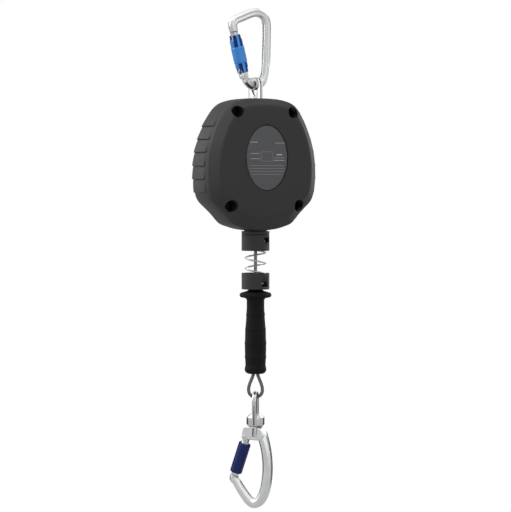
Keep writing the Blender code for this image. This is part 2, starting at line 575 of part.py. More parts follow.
# Pawls on the front of the pawl disc, pulled in by their springs
turn_in = math.radians(PAWL_SWING)
for k in (1, 2):
    half = math.pi * (k - 1)

    def spin(a, b):
        return DX + a * math.cos(half) - b * math.sin(half), DZ + a * math.sin(half) + b * math.cos(half)

    pivot = spin(27, 0)
    axis = frame(f"pawl_{k}_axis", (pivot[0], 0, pivot[1]))
    hold(axis, drum_axis)
    shape = []
    for a, b in arc(27, 0, 5, 170, 375, 9) + [(33.98, 24.69), (31.39, 22.8)]:
        da, db = a - 27, b
        shape.append(spin(27 + da * math.cos(turn_in) - db * math.sin(turn_in), da * math.sin(turn_in) + db * math.cos(turn_in)))
    pawl = slab(f"pawl_{k}", shape, *PAWL, "zinc_steel")
    hold(cut(pawl, bar(f"pawl_bore_{k}", 2.3, -60, 0, None, "Y", pivot, 12)), axis)
    pin_bore = bar(f"pawl_pin_bore_{k}", 2.3, -60, -10, None, "Y", pivot, 12)
    cut(bpy.data.objects["pawl_disc"], pin_bore)
    hold(bar(f"pawl_pin_{k}", 2.0, -28.2, DISC[1], "zinc_steel", "Y", pivot, 12), drum_axis)
    wire = []
    for t in np.linspace(0, 1, 15):
        a = 2 * math.pi * 1.4 * t
        spot = spin(27 + 3.0 * math.cos(a), 3.0 * math.sin(a))
        wire.append((spot[0], PAWL[0] - 0.75 - 1.5 * t, spot[1]))
    leg = spin(27 + 3.0 - 0.2, -7)
    wire.insert(0, (leg[0], PAWL[0] - 0.75, leg[1]))
    hold(tube(f"pawl_spring_{k}", wire, 0.5, "spring_steel"), drum_axis)

# Outlet: collar held from inside by its flange, nozzle that leads the rope, upper cup of the bumper
NOZZLE_R, WAY_R = 7.6, 3.2
seat_z = (HOUSE_Z - OUTLET_SEAT[0], HOUSE_Z - OUTLET_SEAT[1])
collar = [
    (NOZZLE_R + FIT, seat_z[0]), (OUTLET_FLANGE_R, seat_z[0]), (OUTLET_FLANGE_R, seat_z[1]), (OUTLET_R, seat_z[1]),
    (OUTLET_R, COLLAR_Z[0]),
    (CUP_R, COLLAR_Z[0]), (CUP_R, COLLAR_Z[1] + 0.9), (CUP_R - 0.9, COLLAR_Z[1]), (NOZZLE_R + FIT, COLLAR_Z[1]),
]
hold(turned("outlet_collar", collar, "charcoal_plastic", 24), housing)
outlet = bar("outlet_way", OUTLET_R + 0.4, COLLAR_Z[1] - 20, seat_z[0] + 11, None, "Z", (0, 0), 36)
cut(rear_cover, outlet)
seat = bar("outlet_seat", OUTLET_FLANGE_R + 0.5, seat_z[1] - FIT, seat_z[0] + 11, None, "Z", (0, 0), 36)
cut(rear_cover, seat)
hold(front_cover, housing)
hold(rear_cover, housing)
nozzle_top = seat_z[0] + FIT
nozzle = [
    (11, nozzle_top + 5), (13, nozzle_top + 3), (13, nozzle_top), (NOZZLE_R, nozzle_top), (NOZZLE_R, CUP_UP_Z - CUP_FLOOR),
    (5.0, CUP_UP_Z - CUP_FLOOR), (WAY_R + 0.5, CUP_UP_Z - 2.5), (WAY_R + 0.3, CUP_UP_Z), (WAY_R + 0.3, seat_z[1] - 6),
    (4.6, seat_z[1] - 1), (7.2, seat_z[0] + 1.5),
]
hold(turned("rope_nozzle", nozzle, "white_nylon", 16), housing)


def cup(name, end, way, material, turn, slot_turn):
    """A bumper cup: its closed end at the given height, opening up or down, with the slot for the spring's hook."""
    rows = [(way, 0), (CUP_R - 1.6, 0), (CUP_R, 1.8), (CUP_R + 0.1, CUP_H), (CUP_R - CUP_WALL, CUP_H),
            (CUP_R - CUP_WALL, CUP_FLOOR), (way, CUP_FLOOR)]
    obj = turned(name, [(r, end + turn * h) for r, h in rows], material, 24)
    slot_z = sorted((end + turn * (CUP_FLOOR + 0.4), end + turn * (CUP_FLOOR + 6.8)))
    spot = block(name + "_slot", (6, -25, slot_z[0]), (15.5, 0, slot_z[1]), None)
    spot.rotation_euler = (0, 0, math.radians(slot_turn))
    return cut(obj, spot)


hold(cup("spring_cup_upper", CUP_UP_Z, NOZZLE_R + FIT, "charcoal_plastic", -1, -2), housing)
bumper = frame("bumper_axis", (0, 0, CUP_LOW_Z))
hold(bumper, housing)
hold(cup("spring_cup_lower", CUP_LOW_Z - CUP_H, 5.0, "charcoal_plastic", 1, -16), bumper)
coil_top = CUP_UP_Z - CUP_FLOOR - SPRING_WIRE / 2 - FIT
coil_low = CUP_LOW_Z - CUP_H + CUP_FLOOR + SPRING_WIRE / 2 + FIT
coil = []
count = int(SPRING_TURNS * 10)
for k in range(count + 1):
    a = math.radians(200) + 2 * math.pi * k / 10
    coil.append((SPRING_R * math.cos(a), SPRING_R * math.sin(a), coil_top + (coil_low - coil_top) * k / count))
tails = []
for p, q in ((coil[0], coil[1]), (coil[-1], coil[-2])):
    step = np.array(p) - np.array(q)
    step[2] = 0
    tails.append(tuple(np.array(p) + step / np.linalg.norm(step) * SPRING_WIRE * 0.6))
coil = [tails[0], *coil, tails[1]]
print("least gap in bumper_spring, mm:", round(self_gap(coil, SPRING_WIRE, 5), 2))
hold(tube("bumper_spring", coil, SPRING_WIRE / 2, "spring_steel"), housing)

# Lifeline: rope to the grip, ferrule, grip and the eye of rope below it
lifeline = frame("lifeline_axis", (0, 0, GRIP_Z))
hold(lifeline, housing)
print("least gap in rope_lead, mm: it never comes back on itself")
hold(tube("rope_lead", lead, ROPE_D / 2, "spring_steel"), lifeline)
LEG = 2.8  # half of the distance between the eye's two legs in the ferrule
rope_way, ferrule_way = ROPE_D / 2 + 0.9, LEG + FERRULE_R + 0.4
grip = [(rope_way, GRIP_Z), *[(r, GRIP_Z - drop) for r, drop in GRIP_PROFILE], (ferrule_way, GRIP_END_Z),
        (ferrule_way, FERRULE_Z[0] + 0.8), (rope_way, FERRULE_Z[0] + 3)]
hold(turned("grip", grip, "black_rubber", 18), lifeline)
eye_frame = frame("rope_eye_frame", (0, 0, 0), EYE_TURN)
hold(eye_frame, lifeline)


def stadium(half, r):
    return arc(half, 0, r, -90, 90, 7) + arc(-half, 0, r, 90, 270, 7)


ferrule = slab("ferrule", stadium(LEG, FERRULE_R), FERRULE_Z[1], FERRULE_Z[0], "zinc_steel", "Z", eye_frame)
cut(ferrule, slab("ferrule_way", stadium(LEG, ROPE_D / 2 + FIT), FERRULE_Z[1] - 5, FERRULE_Z[0] - 4, None, "Z", eye_frame))
eye = [(LEG, FERRULE_Z[0] - 5), (LEG, GRIP_END_Z + 3), (LEG + 0.5, EYE_Z + 21.3), (EYE_R - 4.1, EYE_Z + 15.3),
       (EYE_R - 1.5, EYE_Z + 8.8), (EYE_R - 0.2, EYE_Z + 3.8)]
eye += arc(0, EYE_Z, EYE_R, 0, -180, 13)
eye += [(-x, z) for x, z in eye[5::-1]]
tube("rope_eye", [(x, 0, z) for x, z in eye], ROPE_D / 2, "spring_steel", eye_frame)

# Swivel: a bow that hangs on the rope's eye, its barrel, and the stud that carries the hook
swing = frame("swivel_swing_axis", (0, 0, STRAND_Z), EYE_TURN)
hold(swing, lifeline)
bow_frame = frame("bow_frame", (0, 0, -STRAND_Z), 90.0, parent=swing)
bow_top = STRAND_Z + ROPE_D / 2 + 0.4 + BOW_HALF[0]
bow_mid = bow_top - BOW_R
bow = [(-BOW_R, BARREL_Z[1] + 1.8), (-BOW_R, BARREL_Z[0] - 4.5), (-BOW_R, BARREL_Z[0] + 7.5), *arc(0, bow_mid, BOW_R, 180, 0, 13), (BOW_R, BARREL_Z[0] + 7.5),
       (BOW_R, BARREL_Z[0] - 4.5), (BOW_R, BARREL_Z[1] + 1.8)]
swivel_eye = swept("swivel_eye", bow, BOW_HALF[0], BOW_HALF[1], "zinc_steel", bow_frame)
barrel = [(0.01, BARREL_Z[0] + 2.0), (7.5, BARREL_Z[0] + 2.0), (BARREL_R, BARREL_Z[0] - 2.6), (BARREL_R, BARREL_Z[1] + 3),
          (BARREL_R - 2.2, BARREL_Z[1]), (0.01, BARREL_Z[1])]
barrel_body = turned("barrel_body", barrel, None, 28)
join(swivel_eye, barrel_body)
cut(swivel_eye, bar("stud_bore", STUD_R + FIT, BARREL_Z[1] - 8, BARREL_Z[1] + STUD_TOP + FIT, None, "Z", (0, 0), 20))
hook_turn = frame("hook_swivel_axis", (0, 0, BARREL_Z[1]), 0)
hold(hook_turn, swing)
stud_z = (BARREL_Z[1] + STUD_HEAD[1], BARREL_Z[1] + STUD_HEAD[0])
stud = bar("swivel_stud", STUD_R, stud_z[0], BARREL_Z[1] + STUD_TOP, "zinc_steel", "Z", (0, 0), 20)
hold(join(stud, bar("stud_head", STUD_HEAD_R, *stud_z, None, "Z", (0, 0), 20)), swing)

# Hook body: head with the stud's window and the gate's fork, spine, bowl and nose
hook_frame = frame("hook_frame", (0, 0, BARREL_Z[1]), HOOK_TURN)
hold(hook_frame, hook_turn)
gate_dir = np.array([-math.sin(math.radians(HOOK_LEAN)), -math.cos(math.radians(HOOK_LEAN))])
nose = np.array(HOOK_PIVOT) + gate_dir * (HOOK_GATE_L + 0.6)
path = list(HOOK_PATH) + [tuple(nose + gate_dir * 5.0), tuple(nose)]
fine = curved(path, 2)
fine[-1] = nose
fine[-2] = nose + gate_dir * 2.4
grow = np.interp(np.arange(len(fine)), [0, 6, 12, 20, len(fine) - 4, len(fine) - 1], [6.5, 6.5, 6.7, 6.9, 5.8, 5.3])
hook_body = swept("hook_body", fine, grow, np.interp(np.arange(len(fine)), [0, len(fine) - 5, len(fine) - 1], [6.4, 6.2, 5.3]),
                  "aluminium", hook_frame)
head = [(-15.6, HEAD_TOP - 2), (-13.6, HEAD_TOP), (5.5, HEAD_TOP), (10.0, HEAD_TOP - 2), (13.4, HEAD_TOP - 5.2), (16.6, -12.6),
        (15.4, -19.0), (6, -20.0), (-3, -19.6), (-8.4, -19.4), *arc(*HOOK_PIVOT, 5.2, -50, -180, 6), (-17.4, -9.6)]
head_block = slab("head_block", head, -8.0, 8.0, None, "Y", hook_frame)
hook_gate_axis = frame("hook_gate_axis", (HOOK_PIVOT[0], 0, HOOK_PIVOT[1]), 0, 180 + HOOK_LEAN, hook_frame)
join(hook_body, head_block)
cut(hook_body, block("gate_slot", (-40, -3.2, -28), (HOOK_PIVOT[0] + 4.9, 3.2, HOOK_PIVOT[1] + 6.8), None, hook_frame),
    block("stud_window", (-STUD_HEAD_R - 0.6, -20, STUD_HEAD[1] - 0.5), (STUD_HEAD_R + 0.6, 20, STUD_HEAD[0] + 0.5), None, hook_frame),
    bar("stud_way", STUD_R + 0.4, STUD_HEAD[0] - 1.4, 12, None, "Z", (0, 0), 20, hook_frame),
    bar("hook_pin_bore", 2.3, -20, 20, None, "Y", HOOK_PIVOT, 12, hook_frame))
bar("hook_gate_pin", 2.0, -8.4, 8.4, "zinc_steel", "Y", HOOK_PIVOT, 12, hook_frame)


def gate(name, length, radius, low, tongue, parent):
    """A gate: a round bar along the parent's Z, with a tongue or a fork on the pin, and a bore for its spring."""
    body = bar(name, radius, low, length, "aluminium", "Z", (0, 0), 24, parent)
    return body


hook_gate = gate("hook_gate", HOOK_GATE_L, HOOK_GATE_R, 8.0, True, hook_gate_axis)
tongue = slab("hook_tongue", arc(0, 0, 4.0, 180, 360, 9) + [(4.0, 12), (-4.0, 12)], -2.8, 2.8, None, "Y", hook_gate_axis)
join(hook_gate, tongue)
cut(hook_gate, bar("hook_gate_bore", 2.3, -20, 20, None, "Y", (0, 0), 12, hook_gate_axis),
    bar("hook_spring_bore", 2.2, 0, 26, None, "Z", (0, 0), 12, hook_gate_axis))


def gate_spring(name, low, high, parent):
    turns = 4
    wire = []
    for k in range(turns * 8 + 1):
        a = 2 * math.pi * k / 8
        wire.append((1.45 * math.cos(a), 1.45 * math.sin(a), low + (high - low) * k / (turns * 8)))
    print("least gap in", name, "mm:", round(self_gap(wire, 0.8, 4), 2))
    return tube(name, wire, 0.4, "spring_steel", parent)


gate_spring("hook_gate_spring", 8.0, 25.3, hook_gate_axis)
s0, s1, r = HOOK_SLEEVE
sleeve_bore = HOOK_GATE_R + FIT
turned("hook_sleeve", [(sleeve_bore, s0), (r - 0.8, s0), (r, s0 + 0.8), (r, s1 - 0.8), (r - 0.8, s1), (sleeve_bore, s1)],
       "navy_anodised", 24, "Z", (0, 0, 0), hook_gate_axis)

# Top carabiner: body, forked gate on its pin, twist sleeve
carabiner = frame("carabiner_frame", (0, 0, 0), CARABINER_TURN)
lean_z = CARABINER_LEAN
gate_dir = np.array([math.sin(math.radians(lean_z)), math.cos(math.radians(lean_z))])
pivot = np.array(CARABINER_PIVOT)
nose = pivot + gate_dir * (CARABINER_GATE_L + 0.5)
stop = np.array([-15.3, -88.4])
path = [tuple(nose), *[tuple(nose + step) for step in np.array(CROWN_PATH)], *SPINE_PATH, tuple(stop)]
fine = curved(path, 2)
fine[0], fine[1] = nose, nose + gate_dir * 2.6
last = len(fine) - 1
body = swept("carabiner_body", fine, np.interp(np.arange(last + 1), [0, 4, 10, 20, 28, last], [5.4, 6, 6.2, 5.2, BAR_B, 5.2]),
             np.interp(np.arange(last + 1), [0, 4, last], [5.4, BAR_B, BAR_B]), "aluminium", carabiner, 2.2, 12)
toward = (stop - pivot) / np.linalg.norm(stop - pivot)
side = np.array([-toward[1], toward[0]])
far = np.linalg.norm(stop - pivot) + 3.5
base = math.degrees(math.atan2(-toward[1], -toward[0]))
tongue = arc(*pivot, 4.8, base - 90, base + 90, 9)
tongue += [tuple(pivot + toward * far - side * 4.6), tuple(pivot + toward * far + side * 4.6)]
tongue_block = slab("carabiner_tongue", tongue, -2.3, 2.3, None, "Y", carabiner)
join(body, tongue_block)
cut(body, bar("carabiner_pin_bore", 2.3, -20, 20, None, "Y", CARABINER_PIVOT, 12, carabiner))
bar("carabiner_gate_pin", 2.0, -6.0, 6.0, "zinc_steel", "Y", CARABINER_PIVOT, 12, carabiner)
gate_axis = frame("carabiner_gate_axis", (CARABINER_PIVOT[0], 0, CARABINER_PIVOT[1]), 0, CARABINER_LEAN, carabiner)
top_gate = gate("carabiner_gate", CARABINER_GATE_L, CARABINER_GATE_R, 0.0, False, gate_axis)
join(top_gate, bar("carabiner_gate_end", 4.9, -5.1, 5.1, None, "Y", (0, 0), 20, gate_axis))
cut(top_gate, block("carabiner_fork", (-12, -2.6, -12), (12, 2.6, 7.0), None, gate_axis),
    bar("carabiner_gate_bore", 2.3, -20, 20, None, "Y", (0, 0), 12, gate_axis),
    bar("carabiner_spring_bore", 2.2, 3.5, 26, None, "Z", (0, 0), 12, gate_axis))
gate_spring("carabiner_gate_spring", 8.0, 25.3, gate_axis)

# Twist sleeve: a plain belt between two ends with long flutes
s0, s1, r = CARABINER_SLEEVE
sleeve_bore = CARABINER_GATE_R + FIT
low, high, face = s0 + FLUTE_L[0] + 1, s1 - FLUTE_L[1] - 1, r - BELT_RISE
shape = [(sleeve_bore, s0), (face - 0.7, s0), (face, s0 + 1), (face, low), (r, low + 0.6), (r, high - 0.6), (face, high),
         (face, s1 - 1), (face - 0.7, s1), (sleeve_bore, s1)]
sleeve = turned("carabiner_sleeve", shape, "blue_anodised", 24, "Z", (0, 0, 0), gate_axis)
for k in range(5):
    a = math.radians(72 * k + 20)
    spot = ((r + 0.6) * math.cos(a), (r + 0.6) * math.sin(a))
    for name, low, high in (("low", s0 - 2, s0 + FLUTE_L[0]), ("high", s1 - FLUTE_L[1], s1 + 2)):
        cut(sleeve, bar(f"flute_{name}_{k}", FLUTE_R, low, high, None, "Z", spot, 10, gate_axis))

bpy.context.view_layer.update()
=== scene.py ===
import math

import bmesh
import bpy
import numpy as np
from mathutils import Matrix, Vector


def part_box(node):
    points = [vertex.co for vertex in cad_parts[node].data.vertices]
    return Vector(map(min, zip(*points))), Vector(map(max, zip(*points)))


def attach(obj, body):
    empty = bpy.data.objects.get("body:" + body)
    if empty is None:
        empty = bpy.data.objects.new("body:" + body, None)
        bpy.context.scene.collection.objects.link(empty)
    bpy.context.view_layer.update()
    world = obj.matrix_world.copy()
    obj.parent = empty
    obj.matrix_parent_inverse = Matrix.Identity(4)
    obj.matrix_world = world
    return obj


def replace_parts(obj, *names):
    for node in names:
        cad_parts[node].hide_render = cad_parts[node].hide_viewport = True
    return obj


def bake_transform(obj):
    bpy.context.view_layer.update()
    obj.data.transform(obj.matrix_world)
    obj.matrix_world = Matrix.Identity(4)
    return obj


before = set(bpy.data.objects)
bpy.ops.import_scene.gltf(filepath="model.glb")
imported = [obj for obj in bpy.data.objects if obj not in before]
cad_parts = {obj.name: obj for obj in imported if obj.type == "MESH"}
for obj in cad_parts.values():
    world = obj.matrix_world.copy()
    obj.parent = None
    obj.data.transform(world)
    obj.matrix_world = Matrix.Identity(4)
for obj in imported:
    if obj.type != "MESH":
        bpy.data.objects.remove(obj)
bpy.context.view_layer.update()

# Studio. The object hangs in a white room over a pale floor that takes its shadow, with soft lamps on the left,
# in front and above. The camera stands three metres away, level with the housing, 23 degrees round to its left.
MM = 0.001
CAMERA_TURN, CAMERA_FAR, EYE_LEVEL = -23.0, 3.0, -0.223
PICTURE_HIGH, PICTURE_MIDDLE = 0.7142, -0.3325


class Tone:
    """A value in a shader. + - * / on it add Math nodes, and make() adds any other node: its type, its settings,
    which are set first, and the values or links of its sockets."""

    def __init__(self, tree, socket=None):
        self.tree, self.socket = tree, socket

    def make(self, kind, settings=None, sockets=None, out=0):
        node = self.tree.nodes.new("ShaderNode" + kind)
        for key, value in (settings or {}).items():
            if key == "stops":
                ramp = node.color_ramp
                while len(ramp.elements) < len(value):
                    ramp.elements.new(1.0)
                for stop, (at, colour) in zip(ramp.elements, value):
                    stop.position, stop.color = at, (*colour, 1)
            else:
                setattr(node, key, value)
        for key, value in (sockets or {}).items():
            if isinstance(value, Tone):
                self.tree.links.new(value.socket, node.inputs[key])
            else:
                node.inputs[key].default_value = value
        return Tone(self.tree, node.outputs[out] if node.outputs else None)

    def __add__(self, other):
        return self.make("Math", {"operation": "ADD"}, {0: self, 1: other})

    def __sub__(self, other):
        return self.make("Math", {"operation": "SUBTRACT"}, {0: self, 1: other})

    def __rsub__(self, other):
        return self.make("Math", {"operation": "SUBTRACT"}, {0: other, 1: self})

    def __mul__(self, other):
        return self.make("Math", {"operation": "MULTIPLY"}, {0: self, 1: other})

    def __truediv__(self, other):
        return self.make("Math", {"operation": "DIVIDE"}, {0: self, 1: other})

    __radd__, __rmul__ = __add__, __mul__


scene = bpy.context.scene
scene.view_settings.view_transform = "Standard"
room = bpy.data.worlds.new("white_room")
room.use_nodes = True
scene.world = room
room.node_tree.nodes.clear()
air = Tone(room.node_tree)
seen = sum(air.make("LightPath", out=ray) for ray in ("Is Camera Ray", "Is Glossy Ray", "Is Transmission Ray"))
fill = air.make("Background", None, {"Color": (1, 1, 1, 1), "Strength": 0.42})
white = air.make("Background", None, {"Color": (1, 1, 1, 1), "Strength": 1.0})
air.make("OutputWorld", None, {"Surface": air.make("MixShader", None, {0: seen, 1: fill, 2: white})})


def lamp(name, turn, rise, far, wide, watts):
    """A square soft lamp on a ball round the housing, turned to face it."""
    light = bpy.data.lights.new(name, "AREA")
    light.shape, light.size, light.energy = "SQUARE", wide, watts
    obj = bpy.data.objects.new(name, light)
    a, b = math.radians(turn), math.radians(rise)
    way = np.array([math.sin(a) * math.cos(b), -math.cos(a) * math.cos(b), math.sin(b)])
    obj.location = way * far + (0, 0, -0.33)
    obj.rotation_euler = (math.pi / 2 - b, 0, a)
    scene.collection.objects.link(obj)


lamp("key", -118, 34, 3.0, 4.0, 104)
lamp("front", 6, 22, 3.2, 3.0, 17)
lamp("right", 104, 22, 3.0, 3.4, 40)
lamp("top", -40, 80, 2.6, 3.0, 22)


def flag(name, turn, low, high):
    """A dark card behind the object, out of the picture, that only mirror-bright metal shows as its dark edge."""
    a, half = math.radians(turn), math.radians(30)
    foot = [(0.24 * math.sin(a + k * half), -0.24 * math.cos(a + k * half)) for k in (-1, 0, 1)]
    mesh = bpy.data.meshes.new(name)
    mesh.from_pydata([(*at, z) for z in (low, high) for at in foot], [], [(0, 1, 4, 3), (1, 2, 5, 4)])
    obj = bpy.data.objects.new(name, mesh)
    scene.collection.objects.link(obj)
    obj.visible_camera = obj.visible_diffuse = obj.visible_shadow = obj.visible_transmission = False
    mesh.materials.append(card_dark)


card_dark = bpy.data.materials.new("dark_card")
card_dark.use_nodes = True
card_dark.node_tree.nodes.clear()
paint = Tone(card_dark.node_tree)
paint.make("OutputMaterial", None, {"Surface": paint.make("BsdfDiffuse", None, {"Color": (0.03, 0.03, 0.032, 1)})})
for side in (-1, 1):
    flag(f"flag_top_{side}", CAMERA_TURN + side * 138, -0.055, 0.07)
    flag(f"flag_low_{side}", CAMERA_TURN + side * 138, -0.715, -0.515)

floor_mesh = bpy.data.meshes.new("floor")
floor_mesh.from_pydata([(-4, -4, -0.72), (4, -4, -0.72), (4, 4, -0.72), (-4, 4, -0.72)], [], [(0, 1, 2, 3)])
floor = bpy.data.objects.new("floor", floor_mesh)
scene.collection.objects.link(floor)
pale = bpy.data.materials.new("pale_floor")
pale.use_nodes = True
pale.node_tree.nodes.clear()
paint = Tone(pale.node_tree)
lit = paint.make("BsdfDiffuse", None, {"Color": (0.92, 0.92, 0.92, 1)})
glow = paint.make("Emission", None, {"Color": 1 - 0.2 * paint.make("LightPath", out="Is Glossy Ray"), "Strength": 1.0})
far = paint.make("VectorMath", {"operation": "LENGTH"}, {0: paint.make("TexCoord", out="Object")}, "Value")
white_share = paint.make("MapRange", None, {"Value": far, "From Min": 0.8, "From Max": 1.5, "To Min": 0.82, "To Max": 1.0})
share = white_share * sum(paint.make("LightPath", out=ray) for ray in ("Is Camera Ray", "Is Glossy Ray", "Is Transmission Ray"))
paint.make("OutputMaterial", None, {"Surface": paint.make("MixShader", None, {0: share, 1: lit, 2: glow})})
floor_mesh.materials.append(pale)

eye = bpy.data.cameras.new("camera")
eye.sensor_width = 36.0
eye.lens = 36.0 * CAMERA_FAR / PICTURE_HIGH
eye.clip_end = 100
camera = bpy.data.objects.new("camera", eye)
turn = math.radians(CAMERA_TURN)
camera.location = (CAMERA_FAR * math.sin(turn), -CAMERA_FAR * math.cos(turn), EYE_LEVEL)
camera.rotation_euler = (math.pi / 2 + math.atan2(PICTURE_MIDDLE - EYE_LEVEL, CAMERA_FAR), 0, turn)
scene.collection.objects.link(camera)
scene.camera = camera

# Rear cover: the deep half of the housing, moulded in black-grey nylon with a fine spark-eroded grain. Six shingled
# wedges on each side give a hand grip. Four screws from the front hold it to the front cover.
HOUSE_Z = -205.3
PARTING_Y, FRONT_Y, BACK_Y = -26.0, -41.0, 40.0
HALF = np.array([
    (0, 92.4), (14, 92.1), (27, 91.0), (39, 88.4), (49, 84.4), (57.5, 76.8), (64.5, 66.0), (71, 53.6), (79, 33.0),
    (83.4, 15.0), (85.4, -4), (85.2, -23), (82.9, -39), (78.1, -50.7), (68.2, -60.5), (59, -69.3), (51, -78.3),
    (45.2, -83.0), (36.6, -86.2), (22, -90.0), (0, -92)])
WEDGE_LOW = [53.6, 35.4, 17.2, -1.5, -20.0, -39.0]
WEDGE_RISE, WEDGE_GROOVE = 1.5, 0.55
WEDGE_Y = (-17.0, 27.0)


def through(points, count, closed=False):
    """A smooth line through points: a cubic between each two, its slope at a point set by the two beside it, then
    set out again at even steps along its length."""
    p = np.asarray(points, float)
    if closed:
        p = np.concatenate([p[-1:], p, p[:2]])
    else:
        p = np.concatenate([2 * p[:1] - p[1:2], p, 2 * p[-1:] - p[-2:-1]])
    a, b, c, d = (p[i:len(p) - 3 + i, None] for i in range(4))
    t = np.linspace(0, 1, 32, endpoint=False)[None, :, None]
    fine = 0.5 * (2 * b + (c - a) * t + (2 * a - 5 * b + 4 * c - d) * t**2 + (3 * b - a - 3 * c + d) * t**3)
    fine = np.concatenate([fine.reshape(-1, p.shape[1]), p[-2:-1]])
    far = np.concatenate([[0], np.cumsum(np.linalg.norm(np.diff(fine, axis=0), axis=1))])
    at = np.linspace(0, far[-1], count, endpoint=not closed)
    return np.stack([np.interp(at, far, column) for column in fine.T], 1)


def step(low, high, x):
    """Rises smoothly from 0 at low to 1 at high."""
    t = np.clip((x - low) / (high - low), 0, 1)
    return t * t * (3 - 2 * t)


def skin(name, grid, material=None, around=True, closed=False, sharp=40, marks=None):
    """A piece from a grid of points (rows, columns, xyz) in millimetres, one face to a cell. around joins the last
    column to the first, closed the last row to the first. Rows that shrink to a point become closed poles. marks
    are numbers on the same grid that a material reads."""
    rows, columns = grid.shape[:2]
    i, j = np.meshgrid(np.arange(rows if closed else rows - 1), np.arange(columns if around else columns - 1),
                       indexing="ij")
    i1, j1 = (i + 1) % rows, (j + 1) % columns
    cells = np.stack([i * columns + j, i * columns + j1, i1 * columns + j1, i1 * columns + j], -1).reshape(-1, 4)
    mesh = bpy.data.meshes.new(name)
    mesh.from_pydata((grid.reshape(-1, 3) * MM).tolist(), [], cells.tolist())
    for key, value in (marks or {}).items():
        value = np.ascontiguousarray(np.broadcast_to(value, grid.shape[:2]), np.float32)
        mesh.attributes.new(key, "FLOAT", "POINT").data.foreach_set("value", value.reshape(-1))
    return cleaned(name, mesh, material, sharp)


def cleaned(name, mesh, material=None, sharp=40):
    """Merges a mesh's doubles, turns its faces outward and keeps the creases over an angle sharp."""
    shape = bmesh.new()
    shape.from_mesh(mesh)
    bmesh.ops.remove_doubles(shape, verts=shape.verts, dist=2e-6)
    bmesh.ops.delete(shape, geom=[edge for edge in shape.edges if not edge.link_faces], context="EDGES")
    bmesh.ops.recalc_face_normals(shape, faces=shape.faces)
    shape.to_mesh(mesh)
    shape.free()
    mesh.polygons.foreach_set("use_smooth", np.ones(len(mesh.polygons), bool))
    mesh.set_sharp_from_angle(angle=math.radians(sharp))
    obj = bpy.data.objects.new(name, mesh)
    scene.collection.objects.link(obj)
    if material:
        mesh.materials.append(material)
    return obj


def carved(obj, *cutters, way="DIFFERENCE"):
    """Takes the cutters out of a piece, or with UNION joins them to it in one skin, and removes them."""
    group = bpy.data.collections.new("cutters")
    for cutter in cutters:
        group.objects.link(cutter)
    take = obj.modifiers.new("take", "BOOLEAN")
    take.operand_type, take.collection, take.solver, take.operation = "COLLECTION", group, "MANIFOLD", way
    return settled(obj, *cutters)


def settled(obj, *spent):
    """Makes a piece's modifiers part of its mesh, and removes what they used."""
    bpy.context.view_layer.update()
    mesh = bpy.data.meshes.new_from_object(obj.evaluated_get(bpy.context.evaluated_depsgraph_get()))
    obj.modifiers.clear()
    obj.data = mesh
    for other in spent:
        bpy.data.objects.remove(other)
    return obj


def united(name, *pieces, sharp=40):
    """One piece made of several shapes that were moulded or forged together."""
    shape = bmesh.new()
    for piece in pieces:
        shape.from_mesh(piece.data)
    mesh = bpy.data.meshes.new(name)
    shape.to_mesh(mesh)
    shape.free()
    mesh.materials.append(pieces[0].data.materials[0])
    for piece in pieces:
        bpy.data.objects.remove(piece)
    mesh.polygons.foreach_set("use_smooth", np.ones(len(mesh.polygons), bool))
    mesh.set_sharp_from_angle(angle=math.radians(sharp))
    obj = bpy.data.objects.new(name, mesh)
    scene.collection.objects.link(obj)
    return obj


def fitted(obj, body, finish_slot, *nodes):
    """Sets a piece on its body, in the place of the CAD nodes that it stands for."""
    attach(obj, body)
    if nodes:
        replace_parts(obj, *nodes)
    return obj


def finish(name, shade, **fixed):
    """A Principled material. Values that are the same all over go straight on its sockets, and shade(tone) gives
    those that vary over the surface."""
    material = bpy.data.materials.new(name)
    material.use_nodes = True
    shader = material.node_tree.nodes["Principled BSDF"]
    for key, value in fixed.items():
        shader.inputs[key.replace("_", " ")].default_value = value
    for key, value in shade(Tone(material.node_tree)).items():
        material.node_tree.links.new(value.socket, shader.inputs[key])
    return material


def noise(tone, scale, detail=3.0, vector=None):
    """Cloudy noise on Object coordinates, or on a vector made from them."""
    at = vector or tone.make("TexCoord", out="Object")
    return tone.make("TexNoise", None, {"Vector": at, "Scale": scale, "Detail": detail})


def between(tone, share, low, high):
    """A colour between two, by a share from 0 to 1."""
    return tone.make("Mix", {"data_type": "RGBA"}, {0: share, 6: (*low, 1), 7: (*high, 1)}, 2)


def moulded(tone):
    """Cloudy black-grey with a fine grain, and painted shade, near-black and rougher, where the mark "deep" says the
    inside of a pocket is.
    """
    cloud, grain = noise(tone, 28.0, 4.0), noise(tone, 1500.0, 2.0)
    deep = tone.make("Attribute", {"attribute_name": "deep"}, out="Fac")
    face = between(tone, cloud, (0.0115, 0.0115, 0.0117), (0.0158, 0.0158, 0.0161))
    # The near-black colour is painted shade inside the screw wells.
    return {"Base Color": tone.make("Mix", {"data_type": "RGBA"}, {0: deep, 6: face, 7: (0.0006, 0.0006, 0.0006, 1)}, 2),
            "Roughness": 0.54 + 0.16 * cloud + 0.3 * deep,
            "Normal": tone.make("Bump", None, {"Strength": 0.30, "Distance": 0.0004, "Height": grain})}


charcoal = finish("charcoal_nylon", moulded, Specular_IOR_Level=0.33)

edge = through(np.concatenate([HALF, HALF[-2:0:-1] * (-1, 1)]), 900, closed=True)
edge_turn = np.arctan2(edge[:, 0], edge[:, 1])
edge_far = np.hypot(edge[:, 0], edge[:, 1])
by_turn = np.argsort(edge_turn)


def reach(x, z):
    """How far out a place is: its distance from the middle over that of the outline on the same bearing."""
    return np.hypot(x, z) / np.interp(np.arctan2(x, z), edge_turn[by_turn], edge_far[by_turn], period=2 * np.pi)


def levels(rows, count):
    """y, scale across, scale up and shift up along a cover's profile, on a smooth line through its levels."""
    size = np.array([1, 85, 92, 1])
    return through(np.array(rows, float) * size, count) / size


